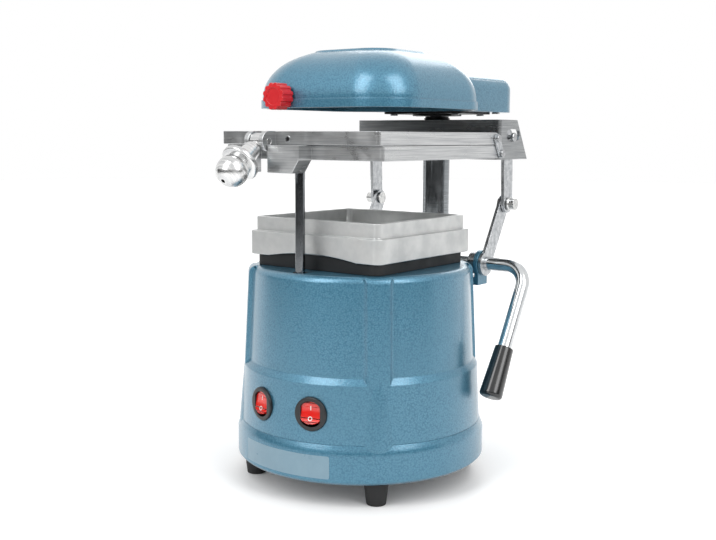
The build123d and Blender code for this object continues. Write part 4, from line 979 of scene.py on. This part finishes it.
@dataclass
class SheetCarriage(SubAssembly):
    """The yoke and sleeve on the column, with both sheet frames and the hinges."""

    frame_edge: float = 0.45
    strip_edge: float = 0.3
    rod_edge: float = 0.3
    screw_edge: float = 0.2

    def build(self) -> None:
        """Dresses the carriage from the sleeve to the upper frame."""
        dressed("carriage_yoke", YOKE_STEEL, self.strip_edge)
        dressed("carriage_sleeve", PIN_METAL, self.strip_edge)
        dressed("lower_frame", FRAME_METAL, self.frame_edge)
        dressed("upper_frame", FRAME_METAL, self.frame_edge)
        dressed("guide_rod", ROD_STEEL, self.rod_edge)
        dressed("hinge_plates", ZINC, self.screw_edge)
        dressed("hinge_screws", SCREW_STEEL, self.screw_edge)
        dressed("frame_screws", SCREW_STEEL, self.screw_edge)


@dataclass
class SheetClamp(SubAssembly):
    """The swing bolt and its turned ball knob, on a pin in the upper frame."""

    pin_edge: float = 0.3
    bolt_edge: float = 0.2
    knob_edge: float = 0.35
    lock_screw_at: tuple[float, float, float] = (-8.1, -87.0, 290.8)
    lock_screw_radius: float = 2.7
    lock_socket_radius: float = 1.7

    def lock_screw(self) -> None:
        """Sets the socket screw that locks the pin, just proud of the frame's front."""
        place = Matrix.Translation(Vector(self.lock_screw_at) * MM) @ Matrix.Rotation(math.pi / 2, 4, "X")
        rim, socket = self.lock_screw_radius, self.lock_socket_radius
        turned(
            "lock_screw_rim", "clamp_frame", SCREW_STEEL,
            [(socket, -1.0), (rim, -1.0), (rim, 0.35), (rim - 0.35, 0.6), (socket, 0.6)], place,
        )
        turned(
            "lock_screw_socket", "clamp_frame", BLACKED_STEEL,
            [(0.0, -1.0), (socket, -1.0), (socket, 0.1), (0.0, 0.1)], place,
        )

    def build(self) -> None:
        """Dresses the pin, the bolt and the knob, and adds the pin's lock screw."""
        self.lock_screw()
        dressed("clevis_pin", PIN_METAL, self.pin_edge)
        dressed("swing_bolt", CLAMP_METAL, self.bolt_edge)
        dressed("knob_neck", CLAMP_METAL, self.knob_edge)
        dressed("clamp_knob", CLAMP_METAL, self.knob_edge)


@dataclass
class HeaterHead(SubAssembly):
    """The painted head that swings on the column, and the heater in it."""

    plate_edge: float = 0.3
    screw_edge: float = 0.2
    pan_edge: float = 0.3
    knob_edge: float = 0.3

    rim_foot: float = 316.0
    rim_top: tuple[float, float] = (326.0, 323.0)
    panel_foot: tuple[float, float] = (361.0, 362.5)
    panel_top: float = 364.5

    def low_rimmed_shell(self) -> bmesh.types.BMesh:
        """Gives the shell the low rim and the shallow top panel of the casting.

        Returns:
            The shell's copy, with its heights moved in three steps.
        """
        shape = merged_copy("head_shell")
        steps = ((self.rim_foot, self.rim_foot), self.rim_top, self.panel_foot, (self.panel_top,) * 2)
        for vert in shape.verts:
            height = vert.co.z / MM
            for (low, new_low), (high, new_high) in zip(steps, steps[1:]):
                if low < height <= high:
                    share = (height - low) / (high - low)
                    vert.co.z = (new_low + share * (new_high - new_low)) * MM
                    break
        return shape

    def build(self) -> None:
        """Dresses the shell, the pivot, the heater and the red knob."""
        dressed("head_shell", PAINT, shape=self.low_rimmed_shell())
        dressed("tail_cover", PAINT)
        dressed("pivot_plate", BLACKED_STEEL, self.plate_edge)
        dressed("pivot_disc", BLACKED_STEEL, self.plate_edge)
        dressed("plate_screws", SCREW_STEEL, self.screw_edge)
        dressed("head_top_screw", SCREW_STEEL, self.screw_edge)
        dressed("heater_pan", REFLECTOR, self.pan_edge)
        dressed("heating_element", SHEATH)
        dressed("element_posts", CERAMIC, self.screw_edge)
        dressed("head_knob", RED_KNOB, self.knob_edge)
        dressed("knob_stud", SCREW_STEEL, self.screw_edge)


@dataclass
class SwitchPanel(SubAssembly):
    """The two round rocker switches, and the cord gland and fuse at the back."""

    bezel_edge: float = 0.4
    rocker_edge: float = 0.45
    gland_edge: float = 0.4
    azimuth: float = 14.5
    height: float = 75.0
    pivot_radius: float = 98.5
    front: float = 6.3
    dish: float = 1.2
    half_height: float = 9.2
    tilt: float = 10.0
    widening: float = 1.12
    mark_rise: float = 0.12
    bar_width: float = 0.7
    bar_length: float = 3.6
    bar_place: float = 3.9
    ring_radius: float = 1.55
    ring_width: float = 0.65
    ring_place: float = -4.6

    def build(self) -> None:
        """Dresses both switches, prints their marks, and dresses the gland and fuse."""
        for name, side in (("heating", -1), ("suction", 1)):
            dressed(f"switch_bezel_{name}", BLACK_NYLON, self.bezel_edge)
            dressed(f"rocker_{name}", RED_LENS, self.rocker_edge, shape=self.wide_rocker(name, side))
            self.marks(name, side * self.azimuth)
        dressed("cable_gland", BLACK_NYLON, self.gland_edge)
        dressed("fuse_holder", BLACK_NYLON, self.gland_edge)

    def wide_rocker(self, name: str, side: int) -> bmesh.types.BMesh:
        """Gives a rocker the full width of its round lens.

        Args:
            name: The switch's name.
            side: 1 for the switch on the lever's side and -1 for the other.

        Returns:
            The rocker's copy, widened across its face.
        """
        shape = merged_copy(f"rocker_{name}")
        across = Matrix.Rotation(math.radians(side * self.azimuth), 3, "Z") @ Vector((1, 0, 0))
        bmesh.ops.transform(shape, verts=shape.verts, matrix=Matrix.Scale(self.widening, 4, across))
        return shape

    def face_place(self, azimuth: float, along: float) -> Matrix:
        """Gives a place on a rocker's dished face.

        Args:
            azimuth: The switch's angle from the front, in degrees.
            along: The distance up the face from its middle, in millimetres.

        Returns:
            A matrix whose X runs across the face, Y up it and Z out of it.
        """
        hollow = self.dish * (1 - (along / self.half_height) ** 2)
        slope = math.atan2(2 * self.dish * along, self.half_height**2)
        turn = Matrix.Rotation(math.radians(azimuth), 4, "Z")
        stand = Matrix.Translation((0.0, -self.pivot_radius * MM, self.height * MM))
        lean = Matrix.Rotation(math.radians(90 - self.tilt), 4, "X")
        spot = Matrix.Translation((0.0, along * MM, (self.front - hollow) * MM))
        return turn @ stand @ lean @ spot @ Matrix.Rotation(slope, 4, "X")

    def marks(self, name: str, azimuth: float) -> None:
        """Prints the on bar and the off ring on a rocker.

        Args:
            name: The switch's name.
            azimuth: The switch's angle from the front, in degrees.
        """
        bar = bmesh.new()
        bmesh.ops.create_cube(bar, size=MM)
        bmesh.ops.scale(bar, verts=bar.verts, vec=(self.bar_width, self.bar_length, 2 * self.mark_rise))
        upright = [e for e in bar.edges if abs(e.verts[0].co.z - e.verts[1].co.z) > 0.1 * self.mark_rise * MM]
        bmesh.ops.bevel(
            bar, geom=upright, offset=0.3 * MM, offset_type="OFFSET", segments=3, profile=0.5,
            affect="EDGES", material=-1, clamp_overlap=True,
        )
        bmesh.ops.transform(bar, verts=bar.verts, matrix=self.face_place(azimuth, self.bar_place))
        finish_piece(bar, f"on_mark_{name}", f"{name}_rocker", WHITE_PRINT)

        inner, outer = self.ring_radius - self.ring_width / 2, self.ring_radius + self.ring_width / 2
        rise = self.mark_rise
        turned(
            f"off_mark_{name}", f"{name}_rocker", WHITE_PRINT,
            [(inner, -rise), (outer, -rise), (outer, rise), (inner, rise)],
            self.face_place(azimuth, self.ring_place),
        )
        LOG.info("printed the marks of %s", name)


# ----------------------------------------------------------------------- studio
@dataclass
class Studio:
    """A pale floor, soft lamps and the camera at the photograph's angle."""

    eye: tuple[float, float, float] = (532.8, -710.6, 293.7)
    aim: tuple[float, float, float] = (-2.23, -1.67, 177.7)
    roll: float = 0.29
    lens: float = 51.73
    floor_radius: float = 6000.0
    world_level: float = 0.44
    floor_lift: float = 0.45
    # painted shadow: how far and how strongly ambient occlusion dims the floor's white lift near the machine
    painted_shadow_reach: float = 160.0
    painted_shadow_depth: float = 2.0
    flag_radius: float = 2000.0
    flag_level: float = 0.05
    flag_heights: tuple[float, float] = (-200.0, 560.0)
    flag_ends: tuple[float, float] = (-75.0, 112.0)
    sweep_lift: float = 0.62
    sweep_start: float = 600.0
    sweep_end: float = 2200.0

    def build(self) -> None:
        """Sets the stage round the machine."""
        bpy.context.scene.view_settings.view_transform = "Standard"
        self.camera()
        self.world()
        self.floor()
        self.flag()
        self.lamp("key_softbox", (-174, -1100, 1100), (620, 1250), 11.0)
        self.lamp("right_softbox", (1098, -194, 1100), (620, 1250), 10.0)
        self.lamp("rear_softbox", (-600, 1300, 900), (900, 900), 4.0)

    def camera(self) -> None:
        """Makes the camera, with the photograph's small roll."""
        eye, aim = (Vector(point) * MM for point in (self.eye, self.aim))
        forward = (aim - eye).normalized()
        right = forward.cross(Vector((0, 0, 1))).normalized()
        up = right.cross(forward)
        turn = math.radians(self.roll)
        rolled_right = right * math.cos(turn) + up * math.sin(turn)
        rolled_up = up * math.cos(turn) - right * math.sin(turn)
        placed = Matrix((rolled_right, rolled_up, -forward)).transposed().to_4x4()
        placed.translation = eye
        data = bpy.data.cameras.new("camera")
        data.lens = self.lens
        data.sensor_width = 36.0
        data.sensor_fit = "HORIZONTAL"
        data.clip_start = 0.01
        data.clip_end = 50.0
        camera = bpy.data.objects.new("camera", data)
        camera.matrix_world = placed
        bpy.context.scene.collection.objects.link(camera)
        bpy.context.scene.camera = camera

    def seen_share(self, tree: bpy.types.NodeTree) -> bpy.types.NodeSocket:
        """Gives 1 to rays from the camera, a reflection or a clear material, else 0."""
        path = add_node(tree, "ShaderNodeLightPath")
        seen = path.outputs["Is Camera Ray"]
        for name in ("Is Glossy Ray", "Is Transmission Ray"):
            seen = add_node(
                tree, "ShaderNodeMath", links={0: seen, 1: path.outputs[name]}, operation="MAXIMUM"
            ).outputs[0]
        return seen

    def world(self) -> None:
        """Lights the object from all round at a plain level, before a white backdrop."""
        world = bpy.data.worlds.new("studio")
        world.use_nodes = True
        tree = world.node_tree
        tree.nodes.clear()
        white = linear_colour("#ffffff")
        lit = add_node(tree, "ShaderNodeBackground", {"Color": white, "Strength": self.world_level})
        seen = add_node(tree, "ShaderNodeBackground", {"Color": white, "Strength": 1.0})
        both = add_node(
            tree,
            "ShaderNodeMixShader",
            links={0: self.seen_share(tree), 1: lit.outputs[0], 2: seen.outputs[0]},
        )
        add_node(tree, "ShaderNodeOutputWorld", links={"Surface": both.outputs[0]})
        bpy.context.scene.world = world

    def floor(self) -> None:
        """Lays a pale floor that keeps the machine's shadow, deepened by a painted shadow where ambient occlusion
        dims its white lift.
        """
        shape = bmesh.new()
        bmesh.ops.create_circle(shape, cap_ends=True, segments=96, radius=self.floor_radius * MM)
        mesh = bpy.data.meshes.new("floor")
        shape.to_mesh(mesh)
        shape.free()
        material = bpy.data.materials.new("matte_white_sweep")
        material.use_nodes = True
        tree = material.node_tree
        tree.nodes.clear()
        paper = add_node(
            tree,
            "ShaderNodeBsdfPrincipled",
            {"Base Color": linear_colour("#f4f4f4"), "Roughness": 0.5, "Specular IOR Level": 0.4},
        )
        place = add_node(tree, "ShaderNodeTexCoord").outputs["Object"]
        away = add_node(tree, "ShaderNodeVectorMath", links={0: place}, operation="LENGTH").outputs["Value"]
        sweep = spread(
            tree, away, self.sweep_start * MM, self.sweep_end * MM, self.floor_lift, self.sweep_lift
        )
        lift = add_node(
            tree, "ShaderNodeEmission", {"Color": linear_colour("#ffffff")}, {"Strength": sweep}
        )
        # painted shadow: ambient occlusion, raised to a power, dims the camera-seen white lift under the machine
        painted_shadow_occlusion = add_node(
            tree, "ShaderNodeAmbientOcclusion", {"Distance": self.painted_shadow_reach * MM}, samples=8
        )
        painted_shadow_deepened = add_node(
            tree, "ShaderNodeMath", {1: self.painted_shadow_depth}, {0: painted_shadow_occlusion.outputs["AO"]}, operation="POWER"
        )
        share = add_node(
            tree,
            "ShaderNodeMath",
            links={0: self.seen_share(tree), 1: painted_shadow_deepened.outputs[0]},
            operation="MULTIPLY",
        )
        seen = add_node(
            tree, "ShaderNodeMixShader", links={0: share.outputs[0], 2: lift.outputs[0]}
        )
        both = add_node(
            tree, "ShaderNodeAddShader", links={0: paper.outputs["BSDF"], 1: seen.outputs[0]}
        )
        add_node(tree, "ShaderNodeOutputMaterial", links={"Surface": both.outputs[0]})
        mesh.materials.append(material)
        floor = bpy.data.objects.new("floor", mesh)
        bpy.context.scene.collection.objects.link(floor)

    def flag(self) -> None:
        """Bends a dark sheet round the front, which only polished metal mirrors."""
        low, high = self.flag_heights
        start, end = (math.radians(angle) for angle in self.flag_ends)
        shape = bmesh.new()
        foot, head = (shape.verts.new((0.0, -self.flag_radius * MM, height * MM)) for height in (low, high))
        stem = shape.edges.new((foot, head))
        bmesh.ops.rotate(shape, verts=shape.verts, cent=(0, 0, 0), matrix=Matrix.Rotation(start, 3, "Z"))
        bmesh.ops.spin(
            shape, geom=[foot, head, stem], cent=(0, 0, 0), axis=(0, 0, 1), angle=end - start, steps=48
        )
        mesh = bpy.data.meshes.new("dark_flag")
        shape.to_mesh(mesh)
        shape.free()
        material = bpy.data.materials.new("black_felt")
        material.use_nodes = True
        tree = material.node_tree
        tree.nodes.clear()
        felt = add_node(
            tree, "ShaderNodeEmission", {"Color": linear_colour("#ffffff"), "Strength": self.flag_level}
        )
        add_node(tree, "ShaderNodeOutputMaterial", links={"Surface": felt.outputs[0]})
        mesh.materials.append(material)
        flag = bpy.data.objects.new("dark_flag", mesh)
        for kind in ("camera", "diffuse", "transmission", "volume_scatter", "shadow"):
            setattr(flag, f"visible_{kind}", False)
        bpy.context.scene.collection.objects.link(flag)

    def lamp(
        self, name: str, place: tuple[float, float, float], size: tuple[float, float], power: float
    ) -> None:
        """Hangs a softbox that faces the middle of the machine.

        Args:
            name: The lamp's name.
            place: Its place, in millimetres.
            size: Its width and height, in millimetres.
            power: Its power, in watts.
        """
        data = bpy.data.lights.new(name, "AREA")
        data.shape = "RECTANGLE"
        data.size, data.size_y = (side * MM for side in size)
        data.energy = power
        lamp = bpy.data.objects.new(name, data)
        at = Vector(place) * MM
        facing = (Vector((0.0, 0.0, 180.0 * MM)) - at).to_track_quat("-Z", "Y")
        lamp.matrix_world = Matrix.LocRotScale(at, facing, None)
        bpy.context.scene.collection.objects.link(lamp)


def main() -> None:
    """Builds the machine group by group."""
    logging.basicConfig(level=logging.INFO, format="%(name)s: %(message)s")
    Studio().build()
    groups: list[SubAssembly] = [
        BodyAndBase(), SuctionUnit(), MouldingBed(), ColumnAndBracket(), LoweringLinkage(),
        SheetCarriage(), SheetClamp(), HeaterHead(), SwitchPanel(),
    ]
    for group in groups:
        group.build()
        LOG.info("built %s", type(group).__name__)


if __name__ == "__main__":
    main()
